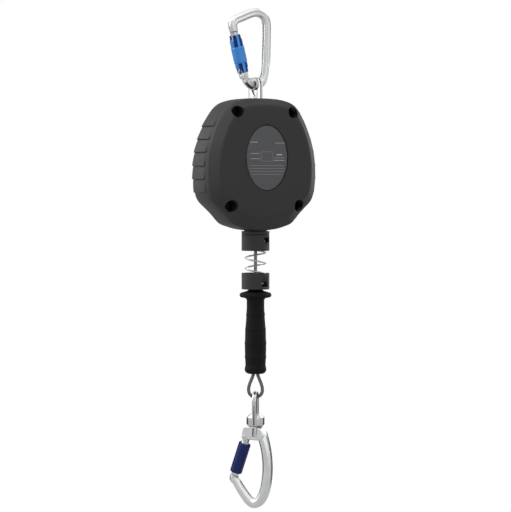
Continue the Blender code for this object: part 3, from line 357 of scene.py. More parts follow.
def rings(line, rows):
    """The outline at each level of a cover, scaled about the middle of the housing and shifted up."""
    y, across, high, up = (column[:, None] for column in rows.T)
    x, z = np.broadcast_arrays(line[..., 0] * across, HOUSE_Z + line[..., 1] * high + up)
    return np.stack([x, np.broadcast_to(y, x.shape), z], -1)


def slab_cutter(name, outline, low, high, along=1):
    """A straight-sided cutter: an outline (n, 2) carried from low to high along y, or along z, with closed ends."""
    middle = np.repeat(outline.mean(0, keepdims=True), len(outline), 0)
    flat = np.stack([middle, outline, outline, middle])
    depth = np.broadcast_to(np.array([low, low, high, high], float)[:, None], flat.shape[:2])
    order = [flat[..., 0], depth, flat[..., 1]] if along == 1 else [flat[..., 0], flat[..., 1], depth]
    return skin(name, np.stack(order, -1))


def ring_line(radius, count=96):
    """Points on a circle."""
    t = np.linspace(0, 2 * np.pi, count, endpoint=False)
    return radius * np.stack([np.cos(t), np.sin(t)], 1)


def anchor_slot():
    """The opening in the top of the covers that the anchor plate stands in."""
    return slab_cutter("slot", np.array([(-3.3, -20), (3.3, -20), (3.3, 20), (-3.3, 20)]), -129.8, -95, 2)


def outlet_way():
    """The round opening in the underside that the outlet collar stands in."""
    return slab_cutter("way", ring_line(16.4), -320, -279, 2)


back_rows = levels([(-26.0, .924, .982, 0), (-25.2, .933, .986, 0), (-23.6, .944, .990, 0), (-17, .970, .995, 0),
                    (-8, .989, .999, 0), (3, 1, 1, 0), (11, 1, 1, 0), (18, 1, 1, 0), (25, .982, .984, 0), (31, .935, .946, 0),
                    (36, .855, .885, 0), (39.2, .77, .82, 0), (40, .70, .77, 0), (40, .4, .44, 0)], 84)
back_rows = np.concatenate([back_rows, [(BACK_Y, 0, 0, 0)]])
back_hollow = np.concatenate([[(36.8, 0, 0, 0)], levels([(36.8, .72, .78, 0), (36.0, .79, .84, 0), (30, .880, .900, 0),
                              (24, .938, .946, 0), (17, .955, .962, 0), (2, .955, .962, 0), (-16, .926, .945, 0),
                              (-26.0, .876, .922, 0)], 14)])
saw_z = np.array([[74.2, 0]] + [[z + d, h] for z in WEDGE_LOW for d, h in ((0, 1), (-0.3, -0.37), (-1.2, -0.37), (-1.8, 0))])
saw = np.interp(-edge[:, 1], -saw_z[:, 0], saw_z[:, 1], left=0, right=0) * WEDGE_RISE
along_y = step(WEDGE_Y[0] - 0.5, WEDGE_Y[0] + 0.5, back_rows[:, 0]) * (1 - step(WEDGE_Y[1] - 2, WEDGE_Y[1] + 2, back_rows[:, 0]))
outward = np.stack([edge[:, 0] / 84, np.zeros(len(edge))], 1)
wedged = edge[None] + (along_y[:, None] * saw[None])[..., None] * np.sign(outward)[None]
outer = np.stack([rings(wedged[k][None], back_rows[k:k + 1])[0] for k in range(len(back_rows))])
rear_grid = np.concatenate([outer, rings(edge[None], back_hollow)])
rear_cover = skin("rear_cover_shell", rear_grid, charcoal, closed=True, sharp=28)
carved(rear_cover, anchor_slot(), outlet_way())
fitted(rear_cover, "housing", "charcoal_plastic", "rear_cover")

# Front cover: the domed half, from the same nylon, with a crisp edge along the parting line. Its screw wells are
# deep rounded pockets, and the label lies in a shallow oval recess with two notches to lift it out by.
SCREW_AT = [(-41.0, 72.3), (41.0, 72.3), (-50.3, -56.8), (50.3, -56.8)]
WELL_R, WELL_FLOOR_R, WELL_FLOOR_Y, WELL_LIP = 8.2, 6.1, -9.5, 0.9
LABEL_R, LABEL_Z = (30.4, 44.3), 9.3
dome = levels([(-26.05, .922, .981, 0), (-27.0, .915, .976, .2), (-28.4, .902, .964, .5), (-33, .858, .918, 1.4),
               (-37.2, .816, .874, 2.4), (-38.6, .797, .853, 2.8), (-39.5, .765, .824, 3.3), (-40.1, .70, .765, 4.2),
               (-40.7, .555, .64, 6), (-41, .40, .52, 8), (-41, .34, .45, 8.3), (-41, .2, .3, 8.3)], 96)
dome_at = np.linspace(0, 1, len(dome))
dome_hollow = np.concatenate([[(-37.8, 0, 0, 8.3)], levels([(-37.8, .400, .510, 8), (-37, .70, .76, 3.2),
                              (-35.6, .765, .812, 2.6), (-27.5, .858, .908, .5), (-26.3, .872, .918, 0)], 14)])
front_grid = np.concatenate([rings(edge[None], dome), rings(edge[None], np.array([[FRONT_Y, 0, 0, 8.3]])),
                             rings(edge[None], dome_hollow)])
front_cover = skin("front_cover_dome", front_grid[:, ::2], charcoal, closed=True, sharp=28)


def dome_y(x, z):
    """Depth of the front cover's skin at a place: of the level whose ring passes through it, found by halving."""
    low, high = np.zeros_like(x), np.ones_like(x)
    for _ in range(26):
        t = (low + high) / 2
        _, across, tall, up = (np.interp(t, dome_at, column) for column in dome.T)
        inside = reach(x / across, (z - up) / tall) < 1
        low, high = np.where(inside, t, low), np.where(inside, high, t)
    return np.interp(low, dome_at, dome[:, 0])


def well_radius(x, z, turn):
    """The well's radius on each bearing: round, but kept inside the cover's edge where it runs close to it."""
    low, high = np.zeros_like(turn), np.full_like(turn, 20.0)
    for _ in range(26):
        r = (low + high) / 2
        inside = reach((x + r * np.cos(turn)) / .916, (z + r * np.sin(turn)) / .976) < 1
        low, high = np.where(inside, r, low), np.where(inside, high, r)
    return np.minimum(WELL_R, low - WELL_LIP - 0.6)


def screw_well(name, x, z):
    """A moulded pocket: its lip rolls over from the dome in a quarter round, the wall narrows to a flat floor with
    the screw's hole, and the boss behind closes it."""
    turn = np.linspace(0, 2 * np.pi, 96, endpoint=False)
    wide = well_radius(x, z, turn)
    roll = np.linspace(0, np.pi / 2, 9)[:, None]
    r_lip = wide + WELL_LIP * (1 - np.sin(roll))
    y_lip = dome_y(x + r_lip * np.cos(turn), z + r_lip * np.sin(turn)) + WELL_LIP * (1 - np.cos(roll))
    r_out = wide + WELL_LIP + 0.5
    y_out = dome_y(x + r_out * np.cos(turn), z + r_out * np.sin(turn)) + 0.12
    down = np.linspace(0.06, 1, 12)[:, None]
    r_wall = wide + (WELL_FLOOR_R - wide) * down**1.5
    y_wall = y_lip[-1] + (WELL_FLOOR_Y - y_lip[-1]) * down
    rest_r = [(WELL_FLOOR_R - 0.7, -9.3), (2.8, -9.3), (2.8, -7.6), (7.6, -7.6), (8.0, -8.0), (8.0, -15.0)]
    r_rest = np.repeat(np.array(rest_r)[:, :1], 96, 1)
    y_rest = np.repeat(np.array(rest_r)[:, 1:], 96, 1)
    r_tail = np.stack([np.minimum(wide + 1.6, 8.6), wide + WELL_LIP])
    y_tail = np.stack([np.minimum(y_out + 3.0, -14), y_out + 1.2])
    r = np.concatenate([r_out[None], r_lip, r_wall, r_rest, r_tail])
    y = np.concatenate([y_out[None], y_lip, y_wall, y_rest, y_tail])
    # deep marks painted shade: none on the dome and lip, rising down the wall to full on the floor and the screw's
    # hole.
    deep = np.concatenate([np.zeros(8), [0.1, 0.3], step(0, 0.35, down[:, 0]), np.ones(6), [0, 0]])[:, None]
    well = skin(name, np.stack([x + r * np.cos(turn), y, HOUSE_Z + z + r * np.sin(turn)], -1), charcoal, closed=True,
                sharp=50, marks={"deep": deep})
    mouth = np.stack([x + (wide + WELL_LIP) * np.cos(turn), HOUSE_Z + z + (wide + WELL_LIP) * np.sin(turn)], 1)
    return well, slab_cutter(name + "_mouth", mouth, -60, -10)


def label_oval(grow, notch=0.0, count=480):
    """The label's oval, grown by an edge width, with the two lifting notches at its top and left."""
    t = np.linspace(0, 2 * np.pi, count, endpoint=False)
    x, z = (LABEL_R[0] + grow) * np.cos(t), (LABEL_R[1] + grow) * np.sin(t)
    lift = notch * np.maximum((np.abs(x) < 2.2) & (z > 0), (z > -6) & (z < 2) & (x < 0))
    return np.stack([x + lift * np.cos(t), HOUSE_Z + LABEL_Z + z + lift * np.sin(t)], 1)


made = [screw_well(f"well_{k}", x, z) for k, (x, z) in enumerate(SCREW_AT)]
carved(front_cover, *[mouth for _, mouth in made], slab_cutter("label_recess", label_oval(1.05, 1.2), -60, FRONT_Y + 2.2))
front_cover = united("front_cover_shell", front_cover, *[well for well, _ in made], sharp=28)
fitted(front_cover, "housing", "charcoal_plastic", "front_cover")

# Cover screws: four black socket-head screws at the bottom of the wells.
def eased(corners, radius, per=6, closed=True):
    """A line with its corners rounded: each corner becomes a quadratic arc that starts and ends a radius from it,
    or nearly half of the shorter side beside it."""
    p = np.asarray(corners, float)
    before, after = np.roll(p, 1, 0) - p, np.roll(p, -1, 0) - p
    long_b, long_a = (np.linalg.norm(v, axis=1, keepdims=True) for v in (before, after))
    room = np.minimum(np.minimum(radius, 0.49 * long_b), 0.49 * long_a)
    if not closed:
        room[[0, -1]] = 0
    a, b = p + before / np.maximum(long_b, 1e-9) * room, p + after / np.maximum(long_a, 1e-9) * room
    t = np.linspace(0, 1, per)[None, :, None]
    return ((1 - t) ** 2 * a[:, None] + 2 * t * (1 - t) * p[:, None] + t**2 * b[:, None]).reshape(-1, 2)


def turned(name, profile, material, steps=96, sharp=40):
    """A turned piece: a closed line of (radius, height) swept round Z, x = r cos a, y = r sin a, z = height."""
    a = np.linspace(0, 2 * np.pi, steps, endpoint=False)
    r, h = profile[:, :1], profile[:, 1:]
    grid = np.stack([r * np.cos(a), r * np.sin(a), np.broadcast_to(h, (len(profile), steps))], -1)
    return skin(name, grid, material, closed=True, sharp=sharp)


def shifted(obj, matrix):
    """Moves a piece's mesh to its place, so that its object stays at the origin. Lengths in millimetres."""
    matrix = matrix.copy()
    matrix.translation *= MM
    obj.data.transform(matrix)
    return obj


def stand(x, y, z, turn_z=0.0, turn_y=0.0, turn_x=0.0):
    """A place and a turn about Z, then Y, then X, in degrees."""
    return (Matrix.Translation((x, y, z)) @ Matrix.Rotation(math.radians(turn_z), 4, "Z")
            @ Matrix.Rotation(math.radians(turn_y), 4, "Y") @ Matrix.Rotation(math.radians(turn_x), 4, "X"))


def blacked(tone):
    cloud = noise(tone, 420.0, 4.0)
    return {"Base Color": between(tone, cloud, (0.006, 0.006, 0.006), (0.014, 0.014, 0.015)),
            "Roughness": 0.42 + 0.2 * cloud}


black_oxide = finish("black_oxide", blacked, Metallic=0.6)
head = eased([(0.01, 2.4), (2.3, 2.4), (2.5, 5.0), (5.0, 5.0), (5.0, 0), (2.5, 0), (2.5, -24), (0.01, -24)], 0.5)
for k, (x, z) in enumerate(SCREW_AT):
    screw = shifted(turned(f"cover_screw_black_{k + 1}", head, black_oxide, 48), stand(x, -9.8, HOUSE_Z + z, 0, 0, 90))
    fitted(screw, "housing", "zinc_steel", f"cover_screw_{k + 1}")


# Label: a grey anodised oval plate in the front cover's recess. It is left blank: ruled lines and an empty box
# stand where a maker's details would be.
RULED = [  # middle x, middle z, half width, half height and strength of each pale bar
    (-19.5, 21.5, 5.6, 0.55, 0.42), (20.5, 20.4, 8.2, 0.45, 0.38), (-17.8, 6.0, 6.6, 0.5, 0.34), (-17.2, -1.2, 7.0, 0.45, 0.34),
    (18.4, 4.4, 4.2, 0.9, 0.5), (18.4, 0.1, 7.6, 0.35, 0.3), (18.4, -3.4, 8.2, 0.5, 0.4), (0, -10.6, 25.6, 0.22, 0.3),
    (0, -14.6, 26.4, 0.22, 0.3), (0, -18.6, 25.2, 0.22, 0.3), (0, -22.6, 22.4, 0.22, 0.3)]
BOX = (0.2, 2.0, 8.6, 6.6)


def label_face(tone):
    at = tone.make("SeparateXYZ", None, {0: tone.make("TexCoord", out="Object")}, "X")
    high = Tone(tone.tree, at.socket.node.outputs["Z"])

    def bar(x, z, wide, tall):
        """1 inside an upright rectangle, 0 outside."""
        across = tone.make("Math", {"operation": "COMPARE"}, {0: at, 1: x * MM, 2: wide * MM})
        up = tone.make("Math", {"operation": "COMPARE"}, {0: high, 1: (HOUSE_Z + LABEL_Z + z) * MM, 2: tall * MM})
        return across * up

    x, z, wide, tall = BOX
    frame_line = bar(x, z, wide, tall) - bar(x, z, wide - 0.5, tall - 0.5)
    ink = sum(bar(*row[:4]) * row[4] for row in RULED) + frame_line * 0.22
    brush = tone.make("Mapping", None, {"Vector": tone.make("TexCoord", out="Object"), "Scale": (60, 60, 2400)})
    streak = noise(tone, 1.0, 3.0, brush)
    ground = between(tone, streak, (0.043, 0.044, 0.049), (0.058, 0.059, 0.065))
    return {"Base Color": tone.make("Mix", {"data_type": "RGBA"}, {0: ink, 6: ground, 7: (0.52, 0.53, 0.56, 1)}, 2),
            "Roughness": 0.36 + 0.12 * streak - 0.05 * ink}


label_grey = finish("label_grey_anodised", label_face, Metallic=0.0, Specular_IOR_Level=0.4)
label_edge = label_oval(0.0, 0, 240)
label_mid = np.array([[0, HOUSE_Z + LABEL_Z]])
label_rows = [(0, 0.3), (0.5, 0.3), (0.975, 0.3), (0.992, 0.38), (1, 0.6), (1, 1.2), (0.99, 1.3), (0, 1.3)]
label_grid = np.stack([np.insert(label_mid + (label_edge - label_mid) * k, 1, FRONT_Y + y, axis=1) for k, y in label_rows])
fitted(skin("label_blank_plate", label_grid, label_grey), "housing", "label_grey", "label_plate")


# Anchor plate: a thick polished steel tongue that stands out of the top of the covers, with a countersunk hole for
# the carabiner. Its wide foot is held between the two frame plates inside.
def with_painted_shade(tone, cloud, low, high):
    """A metal's colour between two, with painted shade darkening the seams and grooves that the mark "shade" gives."""
    shade = tone.make("Attribute", {"attribute_name": "shade"}, out="Fac")
    face = between(tone, cloud, low, high)
    return tone.make("Mix", {"data_type": "RGBA"}, {0: shade, 6: face, 7: (0.02, 0.02, 0.021, 1)}, 2)


def polished(tone):
    cloud, fine = noise(tone, 60.0, 3.0), noise(tone, 900.0, 2.0)
    return {"Base Color": with_painted_shade(tone, cloud, (0.40, 0.41, 0.415), (0.52, 0.53, 0.535)),
            "Roughness": 0.16 + 0.12 * cloud,
            "Normal": tone.make("Bump", None, {"Strength": 0.05, "Distance": 0.0002, "Height": fine})}


polished_steel = finish("polished_steel", polished, Metallic=1.0)


def softened(name, node, material, width, segments=3):
    """A copy of a CAD node with its loose faces merged, its flat faces made whole and its edges rounded."""
    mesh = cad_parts[node].data.copy()
    shape = bmesh.new()
    shape.from_mesh(mesh)
    bmesh.ops.remove_doubles(shape, verts=shape.verts, dist=2e-6)
    bmesh.ops.dissolve_limit(shape, angle_limit=math.radians(1), verts=shape.verts, edges=shape.edges)
    shape.to_mesh(mesh)
    shape.free()
    mesh.materials.clear()
    mesh.materials.append(material)
    obj = bpy.data.objects.new(name, mesh)
    scene.collection.objects.link(obj)
    bevel = obj.modifiers.new("round", "BEVEL")
    bevel.width, bevel.segments, bevel.limit_method, bevel.angle_limit = width * MM, segments, "ANGLE", math.radians(30)
    settled(obj)
    obj.data.polygons.foreach_set("use_smooth", np.ones(len(obj.data.polygons), bool))
    obj.data.set_sharp_from_angle(angle=math.radians(35))
    return obj


def dark_rim_reflection(tone):
    """Polished steel, with a painted dark reflection in a band along the middle of its rim."""
    across = tone.make("SeparateXYZ", None, {0: tone.make("TexCoord", out="Object")}, "X")
    reflection_band = tone.make("Math", {"operation": "COMPARE"}, {0: across, 1: -0.2 * MM, 2: 0.85 * MM})
    cloud = noise(tone, 60.0, 3.0)
    face = between(tone, cloud, (0.52, 0.53, 0.54), (0.64, 0.65, 0.66))
    # The near-black band is a painted reflection, within 0.85 mm of x = -0.2 mm.
    return {"Base Color": tone.make("Mix", {"data_type": "RGBA"}, {0: reflection_band, 6: face, 7: (0.03, 0.03, 0.031, 1)}, 2),
            "Roughness": 0.16 + 0.12 * cloud}


painted_rim_steel = finish("painted_rim_steel", dark_rim_reflection, Metallic=1.0)
fitted(softened("anchor_tongue", "anchor_plate", painted_rim_steel, 0.7), "housing", "zinc_steel", "anchor_plate")

# Frame, shaft and ratchet: two pressed steel plates tied by studs carry a fixed shaft, its nut, the spring's arbor
# and the toothed lock ring. All are zinc plated, and sealed inside the covers.
def plated(tone):
    cloud, grain = noise(tone, 45.0, 4.0), noise(tone, 700.0, 2.0)
    return {"Base Color": between(tone, cloud, (0.46, 0.47, 0.49), (0.62, 0.62, 0.60)),
            "Roughness": 0.28 + 0.2 * cloud,
            "Normal": tone.make("Bump", None, {"Strength": 0.12, "Distance": 0.0002, "Height": grain})}


def dress(material, *nodes):
    """Gives CAD nodes that keep their own shape a material."""
    for node in nodes:
        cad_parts[node].data.materials.clear()
        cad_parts[node].data.materials.append(material)


zinc = finish("zinc_plate", plated, Metallic=1.0)
dress(zinc, "front_frame_plate", "rear_frame_plate", "tie_stud_left", "tie_stud_right", "drum_shaft", "shaft_nut",
      "spring_arbor", "ratchet_ring")


# Drum group: a turned aluminium drum on two bronze bushes, with the friction brake, the pawls that fly out when it
# spins too fast, and the pressed case of the spring that winds the rope back in.
def sintered(tone):
    cloud, pore = noise(tone, 90.0, 4.0), noise(tone, 2400.0, 2.0)
    return {"Base Color": between(tone, cloud, (0.36, 0.22, 0.09), (0.50, 0.33, 0.15)), "Roughness": 0.36 + 0.2 * cloud,
            "Normal": tone.make("Bump", None, {"Strength": 0.2, "Distance": 0.0002, "Height": pore})}


def lining(tone):
    fleck, cloud = noise(tone, 1400.0, 3.0), noise(tone, 80.0, 4.0)
    return {"Base Color": between(tone, fleck, (0.05, 0.032, 0.024), (0.15, 0.10, 0.075)), "Roughness": 0.72 + 0.2 * cloud}


def tumbled(tone):
    cloud, fine = noise(tone, 70.0, 4.0), noise(tone, 1300.0, 2.0)
    return {"Base Color": with_painted_shade(tone, cloud, (0.49, 0.50, 0.50), (0.60, 0.61, 0.605)),
            "Roughness": 0.24 + 0.12 * cloud,
            "Normal": tone.make("Bump", None, {"Strength": 0.10, "Distance": 0.00025, "Height": fine})}


aluminium = finish("tumbled_aluminium", tumbled, Metallic=1.0)
dress(aluminium, "drum")
dress(finish("sintered_bronze", sintered, Metallic=1.0), "drum_bush_front", "drum_bush_rear")
dress(finish("friction_lining", lining), "friction_disc")
dress(zinc, "pawl_disc", "hub_nut", "spring_lid", "spring_case", "pawl_1", "pawl_2", "pawl_pin_1", "pawl_pin_2")


# Springs inside: the long power spring coiled between arbor and case, the cone washer that presses the brake, and
# the small wire springs that hold the pawls in. All are blued spring steel.
DRUM_X, DRUM_Z = 15.0, HOUSE_Z + 4.0


def blued(tone):
    cloud = noise(tone, 130.0, 4.0)
    return {"Base Color": between(tone, cloud, (0.20, 0.21, 0.24), (0.34, 0.35, 0.38)), "Roughness": 0.26 + 0.16 * cloud}


spring_steel = finish("blued_spring_steel", blued, Metallic=1.0)


def carried(name, path, section, across, material, sharp=40, marks=None):
    """A profile carried along a path: each point of the section (a, b) lies a along the side that is square to the
    path and nearest to `across`, and b along the side square to both. The ends close on the path itself."""
    path = np.asarray(path, float)
    ahead = np.gradient(path, axis=0)
    ahead /= np.linalg.norm(ahead, axis=1, keepdims=True)
    side = np.broadcast_to(np.asarray(across, float), path.shape)
    side = side - (side * ahead).sum(1, keepdims=True) * ahead
    side /= np.linalg.norm(side, axis=1, keepdims=True)
    other = np.cross(ahead, side)
    section = np.broadcast_to(section, (len(path), *np.shape(section)[-2:]))
    grid = path[:, None] + section[..., :1] * side[:, None] + section[..., 1:] * other[:, None]
    grid = np.concatenate([np.broadcast_to(path[:1, None], grid[:1].shape), grid,
                           np.broadcast_to(path[-1:, None], grid[:1].shape)])
    marks = {key: np.concatenate([value[:1], value, value[-1:]]) for key, value in (marks or {}).items()}
    return skin(name, grid, material, sharp=sharp, marks=marks)


t = np.linspace(0, 1, 361)
coil_r, coil_a = 11.0 + 32.2 * t, 10 * np.pi * t
spiral = np.stack([DRUM_X + coil_r * np.cos(coil_a), np.full_like(t, 24.25), DRUM_Z + coil_r * np.sin(coil_a)], 1)
strip = eased([(-6.0, -0.45), (6.0, -0.45), (6.0, 0.45), (-6.0, 0.45)], 0.2, 3)
fitted(carried("power_spring_strip", spiral, strip, (0, 1, 0), spring_steel), "drum", "spring_steel", "power_spring")
cone_low, cone_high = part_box("disc_spring")
cone_y = (cone_low[1] / MM, cone_high[1] / MM)
cone = eased([(12.3, cone_y[0]), (18, cone_y[0] + 0.7), (18, cone_y[1]), (12.3, cone_y[1] - 0.7)], 0.2, 4)
cone_washer = shifted(turned("brake_cone_washer", cone * (1, -1), spring_steel, 64), stand(DRUM_X, 0, DRUM_Z, 0, 0, 90))
fitted(cone_washer, "drum", "spring_steel", "disc_spring")


def wire(name, path, radius, across, material, sides=12):
    """A round wire along a path."""
    return carried(name, path, ring_line(radius, sides), across, material)


for k in (1, 2):
    low, high = (np.array(corner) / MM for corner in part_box(f"pawl_spring_{k}"))
    half = 1 if k == 1 else -1
    t = np.linspace(0, 1, 81)
    a = 2 * np.pi * 1.4 * t
    coil = np.stack([27 + 3.0 * np.cos(a), high[1] - 0.5 - 1.5 * t, 3.0 * np.sin(a)], 1)
    leg = np.linspace((29.8, coil[0, 1], -7), coil[0], 20, endpoint=False)
    line = np.concatenate([leg, coil]) * (half, 1, half) + (DRUM_X, 0, DRUM_Z)
    fitted(wire(f"pawl_spring_wire_{k}", line, 0.5, (0, 1, 0), spring_steel), "drum", "spring_steel", f"pawl_spring_{k}")


# Lifeline rope: galvanised steel wire rope, six strands laid round a core, each strand of fine wires. Most of it is
# wound on the drum in layers, and the last of it leads down through the outlet to the grip.
ROPE_HALF, LAY = 2.4, 24.0
CORD_MID, CORD_R = 1.6, 0.8


def wired(tone, dark, light):
    """Painted light on the rope: a painted highlight on the crowns of the strands, painted shade in the gaps between
    them, and the fine wires as slanted ribs of painted highlight and shade over a matching relief.
    """
    gap = tone.make("Attribute", {"attribute_name": "gap"}, out="Fac")
    rib = tone.make("Attribute", {"attribute_name": "rib"}, out="Fac")
    wave = tone.make("Math", {"operation": "SINE"}, {0: rib}) * 0.5 + 0.5
    share = (1 - gap) * (0.55 + 0.45 * wave)
    return {"Base Color": between(tone, share, dark, light), "Roughness": 0.30 + 0.3 * gap,
            "Normal": tone.make("Bump", None, {"Strength": 0.5, "Distance": 0.0002, "Height": wave})}


galvanised = finish("galvanised_wire", lambda tone: wired(tone, (0.012, 0.012, 0.012), (0.26, 0.25, 0.24)), Metallic=1.0)


def rope(name, path, across, material, columns=48):
    """A laid rope: round its middle line the skin lies on the nearest of six strands, r = m cos d + sqrt(w² - m² sin² d)
    with d the angle from that strand's middle, and the strands turn once in each lay along the path."""
    path = np.asarray(path, float)
    along = np.concatenate([[0], np.cumsum(np.linalg.norm(np.diff(path, axis=0), axis=1))])[:, None]
    a = np.linspace(0, 2 * np.pi, columns, endpoint=False)[None]
    d = (a - 2 * np.pi * along / LAY) * 3 / np.pi
    d = (d - np.round(d)) * np.pi / 3
    r = CORD_MID * np.cos(d) + np.sqrt(np.maximum(CORD_R**2 - (CORD_MID * np.sin(d)) ** 2, 0))
    # gap puts painted shade between the strands, and rib stripes the fine wires with painted highlight and shade.
    marks = {"gap": ((ROPE_HALF - r) / 0.9).clip(0, 1), "rib": 2 * np.pi * along / 1.9 + d * 8}
    return carried(name, path, np.stack([r * np.cos(a), r * np.sin(a)], -1), across, material, 80, marks)


LEAVE, LEAN = np.array([-27.269, 0, -217.311]), math.radians(20.7465)
down = np.array([math.sin(LEAN), 0, -math.cos(LEAN)])
leave_at = math.atan2(LEAVE[2] - DRUM_Z, LEAVE[0] - DRUM_X)
t = np.linspace(0, 1, 481)[:, None]
wound_a = leave_at - 4 * np.pi * (1 - t)
wound = np.concatenate([DRUM_X + 45.2 * np.cos(wound_a), 10.5 * (t - 1), DRUM_Z + 45.2 * np.sin(wound_a)], 1)
wound = np.concatenate([wound, LEAVE + down * np.array([[1.6], [3.2], [4.8]])])
fitted(rope("rope_outer_turns", wound, (0, 1, 0), galvanised, 36), "drum", "spring_steel", "rope_winding")

turn_z = -289.3
bend = 26.0 * math.tan(LEAN / 2)
corner = np.array([0, 0, turn_z])
t = np.linspace(0, 1, 16)[:, None]
curve = (1 - t) ** 2 * (corner - down * bend) + 2 * t * (1 - t) * corner + t**2 * (corner - (0, 0, bend))
lead = np.concatenate([np.linspace(LEAVE + down * 5.1, curve[0], 90, endpoint=False), curve,
                       np.linspace(curve[-1], (0, 0, -469.5), 300)[1:]])
rope_lead = rope("rope_lead_line", lead, (0, 1, 0), galvanised)
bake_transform(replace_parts(rope_lead, "rope_lead"))

# The inner layers of rope are packed full on the drum, so they show as rows of beads, laid as the rope is.
t = np.linspace(-12.9, 12.9, 180)
bead = 39.65 + 2.35 * np.sqrt(np.maximum(1 - (((t + 12.9) % 5.16) / 2.58 - 1) ** 2, 0))
pack = np.concatenate([np.stack([bead, t], 1), [(22.4, 12.9), (22.4, -12.9)]])
a = np.linspace(0, 2 * np.pi, 360, endpoint=False)
lay_dip = 0.22 * np.abs(np.sin(a * 36 + pack[:, 1:] * 1.2)) * (pack[:, :1] > 30)
r = pack[:, :1] - lay_dip
pack_grid = np.stack([DRUM_X + r * np.cos(a), np.broadcast_to(pack[:, 1:], r.shape), DRUM_Z + r * np.sin(a)], -1)
# gap puts painted shade in the dips between the beads, and rib stripes them with painted highlight and shade.
marks = {"gap": ((42.0 - r) / 2.4).clip(0, 1), "rib": a * 260 + pack[:, 1:] * 3}
rope_pack = skin("rope_inner_layers", pack_grid, galvanised, closed=True, sharp=80, marks=marks)
fitted(rope_pack, "drum", "spring_steel", "rope_core")

# Outlet: a moulded collar held from inside by its flange, with a white nylon nozzle in it that guides the rope.
collar = eased([(7.9, -286.3), (20, -286.3), (20, -289.3), (16, -289.3), (16, -297.8), (19.5, -297.8), (19.5, -301.7),
                (19.2, -302.0), (7.9, -302.0)], 0.25, 5)
fitted(turned("outlet_collar_ring", collar, charcoal, sharp=50), "housing", "charcoal_plastic", "outlet_collar")


def nylon(tone):
    cloud = noise(tone, 140.0, 3.0)
    return {"Base Color": between(tone, cloud, (0.66, 0.65, 0.60), (0.78, 0.77, 0.73)), "Roughness": 0.38 + 0.16 * cloud}


dress(finish("white_nylon", nylon, Specular_IOR_Level=0.5), "rope_nozzle")


# Bumper: two moulded cups with a light steel spring between them, which softens the grip's stop against the housing.
# A slot in each cup takes the spring's end.
def bumper_cup(name, end, way, up, slot_turn):
    """A turned cup, its closed end at a height, opening up or down, with the slot for the spring's end cut through."""
    rows = [(way, 0), (18.9, 0), (19.45, 0.6), (19.5, 22.7), (16.6, 22.7), (16.6, 3.8), (way, 3.8)]
    cup = turned(name, eased([(r, end + up * h) for r, h in rows], 0.35, 6), charcoal, 128, 50)
    z = sorted((end + up * 4.0, end + up * 11.2))
    slot = eased([(6, z[0]), (15.5, z[0]), (15.5, z[1]), (6, z[1])], 1.0, 5)
    return carved(cup, shifted(slab_cutter("slot", slot, -30, -3), stand(0, 0, 0, slot_turn)))


fitted(bumper_cup("bumper_cup_upper", -302.3, 7.9, -1, -2), "housing", "charcoal_plastic", "spring_cup_upper")
fitted(bumper_cup("bumper_cup_lower", -378.9, 5.0, 1, -16), "bumper", "charcoal_plastic", "spring_cup_lower")


def bright_wire(tone):
    cloud = noise(tone, 220.0, 3.0)
    return {"Base Color": between(tone, cloud, (0.33, 0.33, 0.34), (0.46, 0.46, 0.47)), "Roughness": 0.18 + 0.12 * cloud}


bright_steel = finish("bright_spring_wire", bright_wire, Metallic=1.0)
t = np.linspace(-0.012, 1.012, 540)
a = math.radians(200) + 2 * np.pi * 4.5 * t
coil = np.stack([14.3 * np.cos(a), 14.3 * np.sin(a), -307.5 - 66.2 * t.clip(0, 1)], 1)
bumper_coil = wire("bumper_coil", coil, 1.1, (0, 0, 1), bright_steel, 16)
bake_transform(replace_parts(bumper_coil, "bumper_spring"))

# Grip: black foamed rubber moulded over the rope's ferrule, with a wide flange that stops against the bumper, four
# faint finger rings and a rolled end.
GRIP_Z = -379.2
GRIP_LINE = [(9.2, 0), (11.8, 2), (20.4, 4.5), (22.3, 6.2), (22.3, 9.2), (20.6, 10.9), (13.8, 12.2), (12.3, 14.4),
             (12.3, 25.8), (12.9, 37.8), (14.5, 60.2), (15.0, 82.6), (14.5, 97.5), (14.1, 106.5), (15.2, 110.1),
             (15.3, 113.3), (13.4, 116.4), (10.5, 117.8)]
FINGER_AT = [34.7, 55.0, 74.7, 94.3]


def foamed(tone):
    cloud, pore = noise(tone, 60.0, 4.0), noise(tone, 1100.0, 3.0)
    return {"Base Color": between(tone, cloud, (0.0012, 0.0013, 0.0013), (0.0032, 0.0034, 0.0034)),
            "Roughness": 0.62 + 0.22 * cloud,
            "Normal": tone.make("Bump", None, {"Strength": 0.45, "Distance": 0.0006, "Height": pore})}


rubber = finish("black_foamed_rubber", foamed, Specular_IOR_Level=0.14)
line = eased(GRIP_LINE, 1.6, 8, closed=False)
far = np.concatenate([[0], np.cumsum(np.linalg.norm(np.diff(line, axis=0), axis=1))])
at = np.linspace(0, far[-1], 420)
r, drop = np.interp(at, far, line[:, 0]), np.interp(at, far, line[:, 1])
r = r + 0.40 * np.exp(-((drop[:, None] - np.array(FINGER_AT)) / 2.4) ** 2).sum(1)
grip = np.concatenate([[(3.3, GRIP_Z)], np.stack([r, GRIP_Z - drop], 1), [(8.6, -497.0), (8.6, -469.2), (3.3, -467.0)]])
fitted(turned("rubber_grip", grip, rubber, 96, 50), "handle", "black_rubber", "grip")
dress(zinc, "ferrule")

